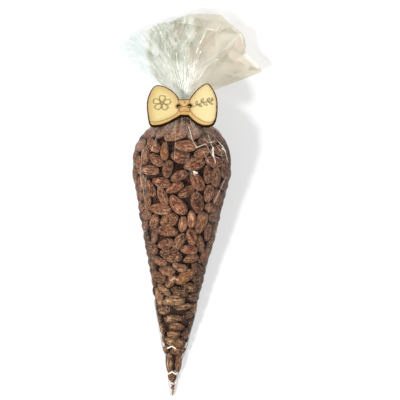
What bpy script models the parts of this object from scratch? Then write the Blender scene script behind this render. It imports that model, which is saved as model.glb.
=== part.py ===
"""Smoked almonds in a clear cone-shaped film bag, tied shut behind a flat wooden bow.

The bag lies down with its bow up. X runs across it, Y from its tip to its gathered top, and Z up.
The origin lies in the flat underside, below the middle of the filled part. A station is a distance
from the tip, measured along Y. Lengths are in metres.
"""

import math

import bmesh
import bpy
import numpy as np
from mathutils import Matrix, Vector

MM = 0.001

GAP = 0.3 * MM  # between neighbours that touch

# The filled bag: a straight cone, a belly and a rounded shoulder that runs in to the tie.
ORIGIN_STATION = 188 * MM
TIP_HALF_WIDTH = 1.6 * MM
FLANK_SLOPE = 0.213  # half width gained for each unit of length
FLANK_TOP = 225 * MM
BELLY = 236 * MM
BELLY_HALF_WIDTH = 50.3 * MM
TIE = 293 * MM
NECK_HALF_WIDTH = 5.0 * MM
SHOULDER_ROUNDNESS = 1.38
FLATTENING = 0.8  # height over width of a cross-section
FOOT_SHARE = 0.3  # share of the width that lies flat on the table
FOOT_RISE = math.sqrt(1 - FOOT_SHARE**2)  # axis height over half height, where the bag lies flat

# The core is the heap behind the almonds that show. Its surface runs through their middles.
CORE_INSET = 4.2 * MM
CORE_INSET_STARTS = 3.5 * MM  # at this half width of the bag, and it is full where the bag is
CORE_INSET_GROWS_OVER = 8 * MM  # this much wider on each side
CORE_SIDES = 18
CORE_CLEARANCE = 0.1 * MM  # of the core's round sides above the table
CORE_LOWEST_ANGLE = math.radians(-65)
CORE_STATIONS = [0, 9, 18, 32, 60, 100, 140, 180, 225, 236, 246, 256, 265, 272, 279, 285, 290, 293]

# The almonds. Each lies on the inside of the film, and three balls stand for it as the heap settles.
ALMOND_COUNT = 200
ALMOND_SEED = 11
ALMOND_LENGTH = (18.0 * MM, 24.5 * MM)
ALMOND_WIDTH_SHARE = (0.52, 0.62)
ALMOND_THICKNESS = (7.2 * MM, 8.8 * MM)
ALMOND_POINT = 0.22  # how much slimmer the pointed end is than the blunt one
ALMOND_SWELL = 1.15  # the sides are flat, so their corners stand out to keep the true width
FIRST_ALMOND = 26 * MM
LAST_ALMOND = 276 * MM
CROSSWISE_BELOW = 150 * MM  # lower down, the almonds lie across the bag more than along it
BALL_PLACES = np.array([-0.29, 0.0, 0.29])  # along the almond, as a share of its length
BALL_SIZES = np.array([0.40, 0.50, 0.40])  # radius, as a share of the almond's width
START_DEPTH_SHARE = 0.8  # of the bag's half width, where the almonds start
MOST_LEAN = (math.radians(40), math.radians(90))  # from crosswise, low down and higher up
SETTLING_STEPS = 90
PUSH_SHARE = 0.3  # of an overlap, taken back in one step
SLACK = 0.2 * MM  # how far a ball inside the heap drifts towards the film in one step
PULL_SHARE = 0.2  # of the distance to the film, covered in one step
MOST_BURIED = 1.5 * MM  # how far an almond may lie behind its neighbours
BURIED_BELOW = 9 * MM
GOLDEN_ANGLE = math.pi * (3 - math.sqrt(5))

# The gathered top: a flat fan of pleated film that spreads from the neck and droops.
FAN_PIVOT = 301 * MM
FAN_OUTLINE = [  # direction in degrees, counter-clockwise from X, and reach in millimetres
    (146, 81), (141, 90), (134, 89), (126, 88), (114, 85), (103, 83), (94, 87), (87, 90),
    (78, 93), (70, 96), (64, 92), (53, 91), (43, 85), (34, 83), (28, 84), (24, 84),
]  # fmt: skip
FAN_SIDES = 30
FAN_RINGS = [0.08, 0.16, 0.3, 0.5, 0.7, 0.85, 1.0]
NECK_FLATTENING = 0.85
NECK_CORNER = math.radians(12)  # the neck's side points lie this far round from its widest line
FAN_OPENS_BY = 0.16  # share of the reach at which the round neck has become a flat fan
FAN_EDGE_SHARE = 0.35  # thickness at the two side edges, as a share of the middle's
FAN_LOW = 13 * MM
FAN_DROOP = 52 * MM  # reach over which the fan loses most of its height
FAN_HALF_THICKNESS = (4.2 * MM, 1.3 * MM)  # at the neck and at the cut edge
PLEATS = 5
PLEAT_HEIGHT = 4.5 * MM

# The bow: one flat piece of plywood with two holes.
PLY = 3.0 * MM
BOW_STATION = 294.3 * MM
BOW_BACK_HEIGHT = 52.1 * MM  # of the back of the plywood, between the holes
BOW_TILT = math.radians(30)  # the lower edge stands up off the table side
BOW_TURN = math.radians(5)
BOW_EDGE_ROUND = 0.2 * MM
BOW_LEFT_WING = [  # millimetres from the middle of the bow, from the waist's top round to its bottom
    (-4.6, 8.2), (-8.0, 14.8), (-12.6, 20.1), (-17.9, 23.9), (-22.7, 26.0), (-27.0, 26.1),
    (-30.6, 23.3), (-34.2, 16.3), (-36.4, 8.3), (-36.9, 0.0), (-36.2, -9.6), (-35.1, -17.6),
    (-32.7, -21.5), (-27.6, -22.2), (-21.7, -21.3), (-13.4, -17.3), (-3.6, -11.5),
]  # fmt: skip
BOW_RIGHT_WING = [
    (5.2, 7.8), (8.9, 13.2), (12.9, 18.5), (17.4, 22.7), (21.5, 25.2), (24.7, 25.5),
    (27.3, 22.6), (31.0, 14.4), (32.7, 7.3), (33.0, -0.3), (32.3, -8.8), (30.6, -17.6),
    (27.5, -22.9), (22.2, -24.9), (17.0, -24.2), (10.8, -20.6), (3.2, -11.8),
]  # fmt: skip
HOLE_SPACING = 11 * MM
HOLE_RADIUS = 2.0 * MM

# The tie: a thread through both holes and round the neck.
THREAD_RADIUS = 0.6 * MM
THREAD_HALF_WIDTH = 6.3 * MM
THREAD_DROP = 5.7 * MM  # from the axis of the neck to the thread below it
THREAD_CORNER = 1.2 * MM
THREAD_SIDE_SHARES = (0.35, 0.7)  # points on the way down from the bow to the neck


def half_width(station):
    """Half the width of the bag at a station, or at an array of them."""
    station = np.asarray(station, float)
    flank = TIP_HALF_WIDTH + FLANK_SLOPE * station
    flank_end = TIP_HALF_WIDTH + FLANK_SLOPE * FLANK_TOP
    bend = np.clip((station - FLANK_TOP) / (BELLY - FLANK_TOP), 0, 1)
    belly = flank_end + (BELLY_HALF_WIDTH - flank_end) * bend * (2 - bend)
    run_in = np.clip((station - BELLY) / (TIE - BELLY), 0, 1) ** SHOULDER_ROUNDNESS
    shoulder = NECK_HALF_WIDTH + (BELLY_HALF_WIDTH - NECK_HALF_WIDTH) * np.cos(run_in * math.pi / 2)
    return np.where(station <= FLANK_TOP, flank, np.where(station <= BELLY, belly, shoulder))


def axis_height(station):
    """Height of the bag's axis above the table. It climbs to the belly and then stays level."""
    return FOOT_RISE * FLATTENING * half_width(np.minimum(station, BELLY))


def new_material(name, colour, roughness, alpha=1.0):
    material = bpy.data.materials.new(name)
    material.use_nodes = True
    shader = material.node_tree.nodes["Principled BSDF"]
    shader.inputs["Base Color"].default_value = (*colour, 1)
    shader.inputs["Roughness"].default_value = roughness
    shader.inputs["Alpha"].default_value = alpha
    return material


def add_object(name, data, material):
    data.materials.append(material)
    obj = bpy.data.objects.new(name, data)
    bpy.context.scene.collection.objects.link(obj)
    return obj


def mesh_through_rings(name, rings):
    """A closed mesh through rings of equally many points, with a flat cap at each end."""
    build = bmesh.new()
    loops = [[build.verts.new(point) for point in ring] for ring in rings]
    for near, far in zip(loops, loops[1:]):
        for i, corner in enumerate(near):
            j = (i + 1) % len(near)
            build.faces.new((corner, near[j], far[j], far[i]))
    build.faces.new(loops[0])
    build.faces.new(loops[-1])
    bmesh.ops.recalc_face_normals(build, faces=build.faces)
    if build.calc_volume(signed=True) < 0:
        bmesh.ops.reverse_faces(build, faces=build.faces)
    mesh = bpy.data.meshes.new(name)
    build.to_mesh(mesh)
    build.free()
    return mesh


def core_ring(station):
    """One cross-section of the core: an ellipse inside the film, with a flat foot under it."""
    outer = float(half_width(station))
    inset = CORE_INSET * min(max((outer - CORE_INSET_STARTS) / CORE_INSET_GROWS_OVER, 0), 1)
    centre = float(axis_height(station))
    y = station - ORIGIN_STATION
    ring = []
    for angle in np.linspace(CORE_LOWEST_ANGLE, math.pi - CORE_LOWEST_ANGLE, CORE_SIDES):
        x = (outer - inset) * math.cos(angle)
        z = centre + (outer * FLATTENING - inset) * math.sin(angle)
        ring.append((x, y, max(z, CORE_CLEARANCE)))
    foot_height = max(centre - outer * FLATTENING * FOOT_RISE, 0)
    ring.append((-FOOT_SHARE * outer, y, foot_height))
    ring.append((FOOT_SHARE * outer, y, foot_height))
    return ring


def outward(points):
    """The film's outward direction nearest each point, and how deep the point lies under it."""
    station = points[..., 1] + ORIGIN_STATION
    width = half_width(station)
    height = width * FLATTENING
    x = points[..., 0]
    z = points[..., 2] - axis_height(station)
    share = np.sqrt((x / width) ** 2 + (z / height) ** 2) + 1e-6
    depth = np.hypot(x, z) * (1 / share - 1)
    slope = (half_width(station + MM) - half_width(station - MM)) / (2 * MM)
    normal = np.stack([x / width**2, -slope / width * share**2, z / height**2], axis=-1)
    normal /= np.linalg.norm(normal, axis=-1, keepdims=True) + 1e-12
    return normal, depth


def scatter_almonds(draw):
    """Almonds spread evenly over the film on a spiral: their sizes, middles and long axes."""
    length = draw.uniform(*ALMOND_LENGTH, ALMOND_COUNT)
    width = length * draw.uniform(*ALMOND_WIDTH_SHARE, ALMOND_COUNT)
    thickness = draw.uniform(*ALMOND_THICKNESS, ALMOND_COUNT)
    stations = np.linspace(FIRST_ALMOND, LAST_ALMOND, 400)
    area = np.cumsum(half_width(stations))
    order = (np.arange(ALMOND_COUNT) + 0.5) / ALMOND_COUNT
    station = np.interp(order, area / area[-1], stations)
    turn = GOLDEN_ANGLE * np.arange(ALMOND_COUNT)
    inside = START_DEPTH_SHARE * half_width(station)
    height = axis_height(station) + FLATTENING * inside * np.sin(turn)
    middle = np.stack([inside * np.cos(turn), station - ORIGIN_STATION, height], axis=-1)
    lean_limit = np.where(station < CROSSWISE_BELOW, *MOST_LEAN)
    lean = draw.uniform(-1, 1, ALMOND_COUNT) * lean_limit
    across = np.stack([-np.sin(turn), np.zeros_like(turn), np.cos(turn)], axis=-1)
    along = np.array([0.0, 1.0, 0.0])
    axis = across * np.cos(lean)[:, None] + along * np.sin(lean)[:, None]
    return length, width, thickness, middle, axis


def settle_almonds(length, width, thickness, middle, axis, buried):
    """Pushes the almonds apart and against the film until they lie side by side."""
    reach = BALL_PLACES * length[:, None]
    radius = (BALL_SIZES * width[:, None]).reshape(-1)
    half_thickness = np.repeat(thickness / 2, 3)
    owner = np.repeat(np.arange(len(length)), 3)
    apart = owner[:, None] != owner[None, :]
    for _ in range(SETTLING_STEPS):
        balls = (middle[:, None, :] + axis[:, None, :] * reach[:, :, None]).reshape(-1, 3)
        gap = balls[:, None, :] - balls[None, :, :]
        distance = np.linalg.norm(gap, axis=-1) + 1e-9
        overlap = np.clip(radius[:, None] + radius[None, :] - distance, 0, None) * apart
        push = (gap * (overlap / distance)[:, :, None]).sum(axis=1) * PUSH_SHARE
        normal, depth = outward(balls)
        push -= normal * np.clip(half_thickness - depth, -SLACK, None)[:, None]
        push[:, 2] += np.clip(half_thickness + GAP - balls[:, 2], 0, None)
        push = push.reshape(-1, 3, 3)
        middle_normal, middle_depth = outward(middle)
        pull = np.clip(middle_depth - thickness / 2 - buried, -MM, MM) * PULL_SHARE
        middle = middle + push.mean(axis=1) + middle_normal * pull[:, None]
        axis = axis * (reach[:, 2] - reach[:, 0])[:, None] + push[:, 2] - push[:, 0]
        axis = axis / np.linalg.norm(axis, axis=-1, keepdims=True)
    return middle, axis


def almond_mesh(length, width, thickness):
    """An almond with few sides: flattened, pointed at one end and blunt at the other."""
    build = bmesh.new()
    bmesh.ops.create_uvsphere(build, u_segments=5, v_segments=3, radius=1)
    bmesh.ops.rotate(build, verts=build.verts, matrix=Matrix.Rotation(math.pi / 2, 3, "Y"))
    for corner in build.verts:
        along, across, up = corner.co
        slim = (1 - ALMOND_POINT * along) * ALMOND_SWELL
        corner.co = (along * length / 2, across * slim * width / 2, up * slim * thickness / 2)
    mesh = bpy.data.meshes.new("almond")
    build.to_mesh(mesh)
    build.free()
    return mesh


def almond_place(middle, axis, outward_normal):
    """Where one almond lies: its length along axis and its flat side to the film."""
    long_axis = Vector(axis)
    side = Vector(outward_normal).cross(long_axis).normalized()
    face_up = long_axis.cross(side)
    turn = Matrix((long_axis, side, face_up)).transposed().to_4x4()
    return Matrix.Translation(middle) @ turn


def largest_body(mesh):
    """Drops loose scraps and the walls of sealed hollows, which leaves the outer surface alone."""
    build = bmesh.new()
    build.from_mesh(mesh)
    build.faces.ensure_lookup_table()
    left = set(build.faces)
    bodies = []
    while left:
        body = set()
        edge_of_search = [left.pop()]
        while edge_of_search:
            face = edge_of_search.pop()
            body.add(face)
            near = {other for edge in face.edges for other in edge.link_faces}
            found = near & left
            left -= found
            edge_of_search.extend(found)
        bodies.append(body)
    bodies.sort(key=len)
    scraps = [face for body in bodies[:-1] for face in body]
    bmesh.ops.delete(build, geom=scraps, context="FACES")
    build.to_mesh(mesh)
    build.free()


def add_almond_cone():
    """The filled bag up to the tie: the core with the almonds that show fused on."""
    material = new_material("smoked_almond", (0.20, 0.085, 0.045), 0.6)
    rings = [core_ring(station * MM) for station in CORE_STATIONS]
    cone = add_object("almond_cone", mesh_through_rings("almond_cone", rings), material)
    draw = np.random.default_rng(ALMOND_SEED)
    length, width, thickness, middle, axis = scatter_almonds(draw)
    buried = draw.uniform(0, MOST_BURIED, ALMOND_COUNT)
    middle, axis = settle_almonds(length, width, thickness, middle, axis, buried)
    normal, _ = outward(middle)
    shown = bpy.data.collections.new("almonds_to_fuse")
    bpy.context.scene.collection.children.link(shown)
    for i in range(ALMOND_COUNT):
        foot = FOOT_SHARE * float(half_width(middle[i, 1] + ORIGIN_STATION))
        if middle[i, 2] < BURIED_BELOW and abs(middle[i, 0]) < foot:
            continue  # it lies wholly inside the foot
        mesh = almond_mesh(length[i], width[i], thickness[i])
        place = almond_place(middle[i], axis[i], normal[i])
        lowest = min((place @ corner.co).z for corner in mesh.vertices)
        almond = bpy.data.objects.new("almond", mesh)
        almond.matrix_world = Matrix.Translation((0, 0, max(GAP - lowest, 0))) @ place
        shown.objects.link(almond)
    union = cone.modifiers.new("fuse almonds", "BOOLEAN")
    union.operation = "UNION"
    union.operand_type = "COLLECTION"
    union.collection = shown
    union.solver = "MANIFOLD"
    bpy.context.view_layer.update()
    evaluated = cone.evaluated_get(bpy.context.evaluated_depsgraph_get())
    fused = bpy.data.meshes.new_from_object(evaluated)
    cone.modifiers.clear()
    cone.data = fused
    largest_body(fused)
    for almond in list(shown.objects):
        bpy.data.objects.remove(almond)
    bpy.data.collections.remove(shown)
    return cone


def fan_height(reach):
    """Height of the middle of the fan, at a distance from its pivot."""
    neck = float(axis_height(TIE))
    return FAN_LOW + (neck - FAN_LOW) * math.exp(-reach / FAN_DROOP)


def neck_ring(station):
    """A cross-section of the neck, with as many points as one of the fan."""
    centre = float(axis_height(TIE))
    y = station - ORIGIN_STATION
    angles = np.linspace(math.pi - NECK_CORNER, NECK_CORNER, FAN_SIDES + 1)
    height = NECK_HALF_WIDTH * NECK_FLATTENING
    upper = [(NECK_HALF_WIDTH * math.cos(a), y, centre + height * math.sin(a)) for a in angles]
    lower = [(NECK_HALF_WIDTH * math.cos(a), y, centre - height * math.sin(a)) for a in angles]
    return upper + lower[::-1]


def fan_ring(share):
    """The fan's cross-section at a share of its reach, from its left edge to its right and back."""
    directions, reaches = np.array(FAN_OUTLINE[::-1], float).T
    start = neck_ring(FAN_PIVOT)
    spread = min(share / FAN_OPENS_BY, 1)
    upper = []
    lower = []
    for k in range(FAN_SIDES + 1):
        across = k / FAN_SIDES
        degrees = directions[-1] + (directions[0] - directions[-1]) * across
        reach = share * MM * float(np.interp(degrees, directions, reaches))
        direction = math.radians(degrees)
        x = start[k][0] * (1 - spread) + reach * math.cos(direction) * spread
        y = FAN_PIVOT - ORIGIN_STATION + reach * math.sin(direction)
        wave = PLEAT_HEIGHT * share * math.sin(2 * math.pi * PLEATS * across)
        edge = FAN_EDGE_SHARE + (1 - FAN_EDGE_SHARE) * math.sqrt(abs(math.sin(math.pi * across)))
        thick = FAN_HALF_THICKNESS[0] + (FAN_HALF_THICKNESS[1] - FAN_HALF_THICKNESS[0]) * share
        middle = fan_height(reach) + wave
        upper.append((x, y, middle + thick * edge))
        lower.append((x, y, middle - thick * edge))
    return upper + lower[::-1]


def add_film_top():
    """The neck and the fan of film above the tie."""
    material = new_material("clear_film", (0.86, 0.87, 0.84), 0.12, alpha=0.35)
    rings = [neck_ring(TIE + GAP), neck_ring(FAN_PIVOT)]
    rings += [fan_ring(share) for share in FAN_RINGS]
    return add_object("film_top", mesh_through_rings("film_top", rings), material)


def add_bow():
    """The wooden bow: a filled outline with two holes, as thick as the plywood."""
    material = new_material("bow_plywood", (0.80, 0.60, 0.30), 0.55)
    outline = BOW_LEFT_WING + BOW_RIGHT_WING[::-1]
    waist = (BOW_LEFT_WING[0], BOW_LEFT_WING[-1], BOW_RIGHT_WING[0], BOW_RIGHT_WING[-1])
    curve = bpy.data.curves.new("bow", "CURVE")
    curve.dimensions = "2D"
    curve.fill_mode = "BOTH"
    curve.resolution_u = 2
    curve.bevel_depth = BOW_EDGE_ROUND
    curve.bevel_resolution = 0
    curve.offset = -BOW_EDGE_ROUND
    curve.extrude = PLY / 2 - BOW_EDGE_ROUND
    edge = curve.splines.new("BEZIER")
    edge.bezier_points.add(len(outline) - 1)
    for point, (x, y) in zip(edge.bezier_points, outline):
        point.co = (x * MM, y * MM, 0)
        handle = "VECTOR" if (x, y) in waist else "AUTO"
        point.handle_left_type = point.handle_right_type = handle
    edge.use_cyclic_u = True
    for side in (-1, 1):
        hole = curve.splines.new("BEZIER")
        hole.bezier_points.add(3)
        for quarter, point in enumerate(hole.bezier_points):
            angle = quarter * math.pi / 2
            x = side * HOLE_SPACING / 2 + HOLE_RADIUS * math.cos(angle)
            point.co = (x, HOLE_RADIUS * math.sin(angle), 0)
            point.handle_left_type = point.handle_right_type = "AUTO"
        hole.use_cyclic_u = True
    bow = add_object("bow", curve, material)
    bow.location = (0, BOW_STATION - ORIGIN_STATION, BOW_BACK_HEIGHT + PLY / 2 / math.cos(BOW_TILT))
    bow.rotation_euler = (-BOW_TILT, 0, BOW_TURN)
    return bow


def thread_path():
    """The thread's route: over the bow, down through both holes and round under the neck."""
    top = BOW_BACK_HEIGHT + PLY / math.cos(BOW_TILT) + THREAD_RADIUS + GAP
    hole = HOLE_SPACING / 2
    neck = float(axis_height(TIE))
    path = []
    for angle in np.linspace(0, math.pi / 2, 4):
        x = hole - THREAD_CORNER * (1 - math.sin(angle))
        path.append((x, top - THREAD_CORNER * (1 - math.cos(angle))))
    for share in THREAD_SIDE_SHARES:
        drop = top - THREAD_CORNER - neck
        x = hole + (THREAD_HALF_WIDTH - hole) * share
        path.append((x, neck + drop * (1 - share)))
    for angle in np.linspace(0, math.pi / 2, 7):
        path.append((THREAD_HALF_WIDTH * math.cos(angle), neck - THREAD_DROP * math.sin(angle)))
    left = [(-x, z) for x, z in reversed(path[:-1])]
    return path + left


def add_tie():
    material = new_material("tie_thread", (0.42, 0.24, 0.09), 0.5)
    curve = bpy.data.curves.new("tie", "CURVE")
    curve.dimensions = "3D"
    curve.bevel_depth = THREAD_RADIUS
    curve.bevel_resolution = 1
    path = thread_path()
    loop = curve.splines.new("POLY")
    loop.points.add(len(path) - 1)
    for point, (x, z) in zip(loop.points, path):
        point.co = (x, 0, z, 1)
    loop.use_cyclic_u = True
    tie = add_object("tie", curve, material)
    tie.location = (0, BOW_STATION - ORIGIN_STATION, 0)
    tie.rotation_euler = (0, 0, BOW_TURN)
    return tie


def main():
    for obj in list(bpy.data.objects):
        bpy.data.objects.remove(obj)
    add_almond_cone()
    add_film_top()
    add_bow()
    add_tie()


main()
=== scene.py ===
# %% [markdown]
# # A cone of smoked almonds
# A clear film bag, shaped like a cone, is filled with smoked almonds. It is tied shut with a thread
# behind a flat wooden bow, and the spare film fans out above the tie. The bag lies on its side and
# the camera looks straight down on it.
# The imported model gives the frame: X runs across the bag, Y from its tip to its top, and Z up.
# Lengths are in metres, and a station is a distance from the tip, measured along Y.

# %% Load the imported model
import math

import bmesh
import bpy
import numpy as np
from mathutils import Euler, Matrix, Vector
from mathutils.bvhtree import BVHTree


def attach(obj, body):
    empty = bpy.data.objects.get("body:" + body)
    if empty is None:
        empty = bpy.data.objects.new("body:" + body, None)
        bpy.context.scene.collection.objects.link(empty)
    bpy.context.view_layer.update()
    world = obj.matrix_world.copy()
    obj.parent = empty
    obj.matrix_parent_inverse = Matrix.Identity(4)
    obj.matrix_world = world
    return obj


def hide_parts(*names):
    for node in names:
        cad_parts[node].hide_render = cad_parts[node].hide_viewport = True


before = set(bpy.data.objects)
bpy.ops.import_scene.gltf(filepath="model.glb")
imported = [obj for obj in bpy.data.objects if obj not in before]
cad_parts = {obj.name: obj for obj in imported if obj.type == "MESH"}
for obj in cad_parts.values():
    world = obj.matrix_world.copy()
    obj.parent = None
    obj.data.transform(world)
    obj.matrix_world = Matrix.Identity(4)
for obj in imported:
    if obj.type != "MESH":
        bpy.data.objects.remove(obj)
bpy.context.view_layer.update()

MM = 0.001
print("solids in the frame:", ", ".join(sorted(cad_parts)))

# %% [markdown]
# ## Helpers for finishes
# A finish is a net of shader nodes. Writing each one as three or four lines of Blender calls would
# hide the idea, so one helper fills a node's inputs, with a link where the value is another node's
# output and with a number or colour otherwise. Short ones for sums, noises and ramps rest on it.
# Colours are easiest to judge as they look on a screen, but Blender computes with linear light, so
# one more helper turns screen values from 0 to 255 into linear ones.

# %% Helpers for finishes
def fill_inputs(tree, node, inputs):
    for key, value in inputs.items():
        if isinstance(value, bpy.types.NodeSocket):
            tree.links.new(value, node.inputs[key])
        else:
            node.inputs[key].default_value = value


def add_node(tree, kind, inputs=None, **settings):
    node = tree.nodes.new("ShaderNode" + kind)
    for name, value in settings.items():
        setattr(node, name, value)
    fill_inputs(tree, node, inputs or {})
    return node


def screen_colour(red, green, blue):
    levels = np.array([red, green, blue]) / 255
    linear = np.where(levels <= 0.04045, levels / 12.92, ((levels + 0.055) / 1.055) ** 2.4)
    return (*linear.tolist(), 1.0)


def new_finish(name):
    """An empty material: its node tree and its Principled shader."""
    finish = bpy.data.materials.new(name)
    finish.use_nodes = True
    return finish, finish.node_tree, finish.node_tree.nodes["Principled BSDF"]


def kept(tree, name, output="Fac"):
    """A value that a piece keeps at each of its points."""
    return add_node(tree, "Attribute", attribute_name=name).outputs[output]


def grain_noise(tree, place, scale, detail=3.0, roughness=0.55):
    inputs = {"Vector": place, "Scale": scale, "Detail": detail, "Roughness": roughness}
    return add_node(tree, "TexNoise", inputs).outputs["Fac"]


def stretched(tree, place, along, across, up):
    return add_node(tree, "Mapping", {"Vector": place, "Scale": (along, across, up)}).outputs["Vector"]


def calculate(tree, operation, first, second=0.0, clamp=False):
    settings = {"operation": operation, "use_clamp": clamp}
    return add_node(tree, "Math", {0: first, 1: second}, **settings).outputs[0]


def times(tree, first, second):
    return calculate(tree, "MULTIPLY", first, second)


def plus(tree, first, second):
    return calculate(tree, "ADD", first, second)


def within(tree, value, low, high):
    """The value's way from low to high, as a share from 0 to 1."""
    inputs = {"Value": value, "From Min": low, "From Max": high}
    return add_node(tree, "MapRange", inputs).outputs["Result"]


def spread(tree, share, low, high):
    """A share from 0 to 1, as a value from low to high."""
    return add_node(tree, "MapRange", {"Value": share, "To Min": low, "To Max": high}).outputs["Result"]


def blend_colours(tree, share, first, second, blend_type="MIX"):
    settings = {"data_type": "RGBA", "blend_type": blend_type}
    return add_node(tree, "Mix", {0: share, 6: first, 7: second}, **settings).outputs[2]


def colour_steps(tree, value, steps):
    """A ramp through (position, colour) steps, with each colour as on a screen."""
    node = add_node(tree, "ValToRGB", {"Fac": value})
    ramp = node.color_ramp
    while len(ramp.elements) < len(steps):
        ramp.elements.new(0.5)
    for element, (position, colour) in zip(ramp.elements, steps):
        element.position = position
        element.color = screen_colour(*colour)
    return node.outputs["Color"]


def add_bump(tree, height, strength, depth):
    inputs = {"Height": height, "Strength": strength, "Distance": depth}
    return add_node(tree, "Bump", inputs).outputs["Normal"]


# %% [markdown]
# ## Two helpers for shapes
# Most of the pieces are film: thin sheets that follow a formula. The sheet starts as Blender's flat
# grid, and each grid point is then moved to its place. A tube is the same sheet with its two long
# sides merged. Values such as how sharply the film is creased are kept at the points, where a
# material can read them.

# %% Helpers for shapes
def add_piece(name, build, finish, slot, *replaced, smooth=True):
    """Turns a bmesh into a piece that moves with the bag and stands for the replaced solids."""
    mesh = bpy.data.meshes.new(name)
    build.to_mesh(mesh)
    build.free()
    if smooth:
        mesh.shade_smooth()
    mesh.materials.append(finish)
    piece = bpy.data.objects.new(name, mesh)
    bpy.context.scene.collection.objects.link(piece)
    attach(piece, "root")
    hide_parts(*replaced)
    print(f"{name}: {len(mesh.vertices)} points, {len(mesh.polygons)} faces")
    return piece


def bent_grid(across, along, place):
    """A grid whose points place(u, v) moves. It returns their new places and any values to keep."""
    build = bmesh.new()
    build.loops.layers.uv.new("sheet")
    bmesh.ops.create_grid(build, x_segments=across, y_segments=along, size=1, calc_uvs=True)
    flat = np.array([corner.co[:2] for corner in build.verts])
    u, v = (flat.T + 1) / 2
    points, values = place(u, v)
    for name, value in values.items():
        layer = build.verts.layers.float.new(name)
        for corner, level in zip(build.verts, value.tolist()):
            corner[layer] = level
    for corner, point in zip(build.verts, points.tolist()):
        corner.co = point
    bmesh.ops.remove_doubles(build, verts=build.verts, dist=0.001 * MM)
    bmesh.ops.recalc_face_normals(build, faces=build.faces)
    return build


# %% [markdown]
# ## The form of the bag
# The bag is a straight cone with a belly and a rounded shoulder that runs in to the tie. It lies on
# the table, so its cross-sections are a little flattened and its axis climbs towards the belly.
# These are the sizes of the solid model. Everything inside the film is worked out from them.

# %% The form of the bag
ORIGIN_STATION = 188 * MM
TIP_HALF_WIDTH = 1.6 * MM
FLANK_SLOPE = 0.213
FLANK_TOP = 225 * MM
BELLY = 236 * MM
BELLY_HALF_WIDTH = 50.3 * MM
TIE = 293 * MM
NECK_HALF_WIDTH = 5.0 * MM
SHOULDER_ROUNDNESS = 1.38
FLATTENING = 0.8
FOOT_RISE = math.sqrt(1 - 0.3**2)


def half_width(station):
    station = np.asarray(station, float)
    flank = TIP_HALF_WIDTH + FLANK_SLOPE * station
    flank_end = TIP_HALF_WIDTH + FLANK_SLOPE * FLANK_TOP
    bend = np.clip((station - FLANK_TOP) / (BELLY - FLANK_TOP), 0, 1)
    belly = flank_end + (BELLY_HALF_WIDTH - flank_end) * bend * (2 - bend)
    run_in = np.clip((station - BELLY) / (TIE - BELLY), 0, 1) ** SHOULDER_ROUNDNESS
    shoulder = NECK_HALF_WIDTH + (BELLY_HALF_WIDTH - NECK_HALF_WIDTH) * np.cos(run_in * math.pi / 2)
    return np.where(station <= FLANK_TOP, flank, np.where(station <= BELLY, belly, shoulder))


def axis_height(station):
    return FOOT_RISE * FLATTENING * half_width(np.minimum(station, BELLY))


def outward(points, inset=0.0):
    """The outward direction at each point, and its depth under a film drawn in by the inset."""
    station = points[..., 1] + ORIGIN_STATION
    width = np.maximum(half_width(station) - inset, MM)
    height = np.maximum(half_width(station) * FLATTENING - inset, FLATTENING * MM)
    x = points[..., 0]
    z = points[..., 2] - axis_height(station)
    share = np.sqrt((x / width) ** 2 + (z / height) ** 2) + 1e-6
    depth = np.hypot(x, z) * (1 / share - 1)
    slope = (half_width(station + MM) - half_width(station - MM)) / (2 * MM)
    normal = np.stack([x / width**2, -slope / width * share**2, z / height**2], axis=-1)
    normal /= np.linalg.norm(normal, axis=-1, keepdims=True) + 1e-12
    return normal, depth


print(f"the belly is {2000 * BELLY_HALF_WIDTH:.0f} mm wide")

# %% [markdown]
# ## Where the almonds lie
# Almonds poured into a bag lie flat against its film and beside each other, at all angles. A rigid
# body simulation could pour them, but it is slow and differs from run to run. Here three balls stand
# for each almond. They start evenly spread on a spiral, and each step pushes overlapping balls apart
# and draws the almonds to the film, until they lie side by side. The outer layer repeats the solid
# model's. A second layer settles behind it, so that the gaps show more almonds and not a wall.

# %% Settle the almonds
ALMOND_LENGTH = (18.0 * MM, 24.5 * MM)
ALMOND_WIDTH_SHARE = (0.52, 0.62)
ALMOND_THICKNESS = (7.2 * MM, 8.8 * MM)
OUTER_ALMONDS = 200
OUTER_STATIONS = (26 * MM, 276 * MM)
OUTER_BURIED = 1.5 * MM
INNER_ALMONDS = 130
INNER_STATIONS = (58 * MM, 268 * MM)
INNER_BURIED = 3.0 * MM
INNER_INSET = 6.5 * MM
CROSSWISE_BELOW = 150 * MM
MOST_LEAN = (math.radians(40), math.radians(90))
BALL_PLACES = np.array([-0.29, 0.0, 0.29])
BALL_SIZES = np.array([0.40, 0.50, 0.40])
START_DEPTH_SHARE = 0.8
SETTLING_STEPS = 90
PUSH_SHARE = 0.3
SLACK = 0.2 * MM
PULL_SHARE = 0.2
TABLE_GAP = 0.3 * MM
GOLDEN_ANGLE = math.pi * (3 - math.sqrt(5))


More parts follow.
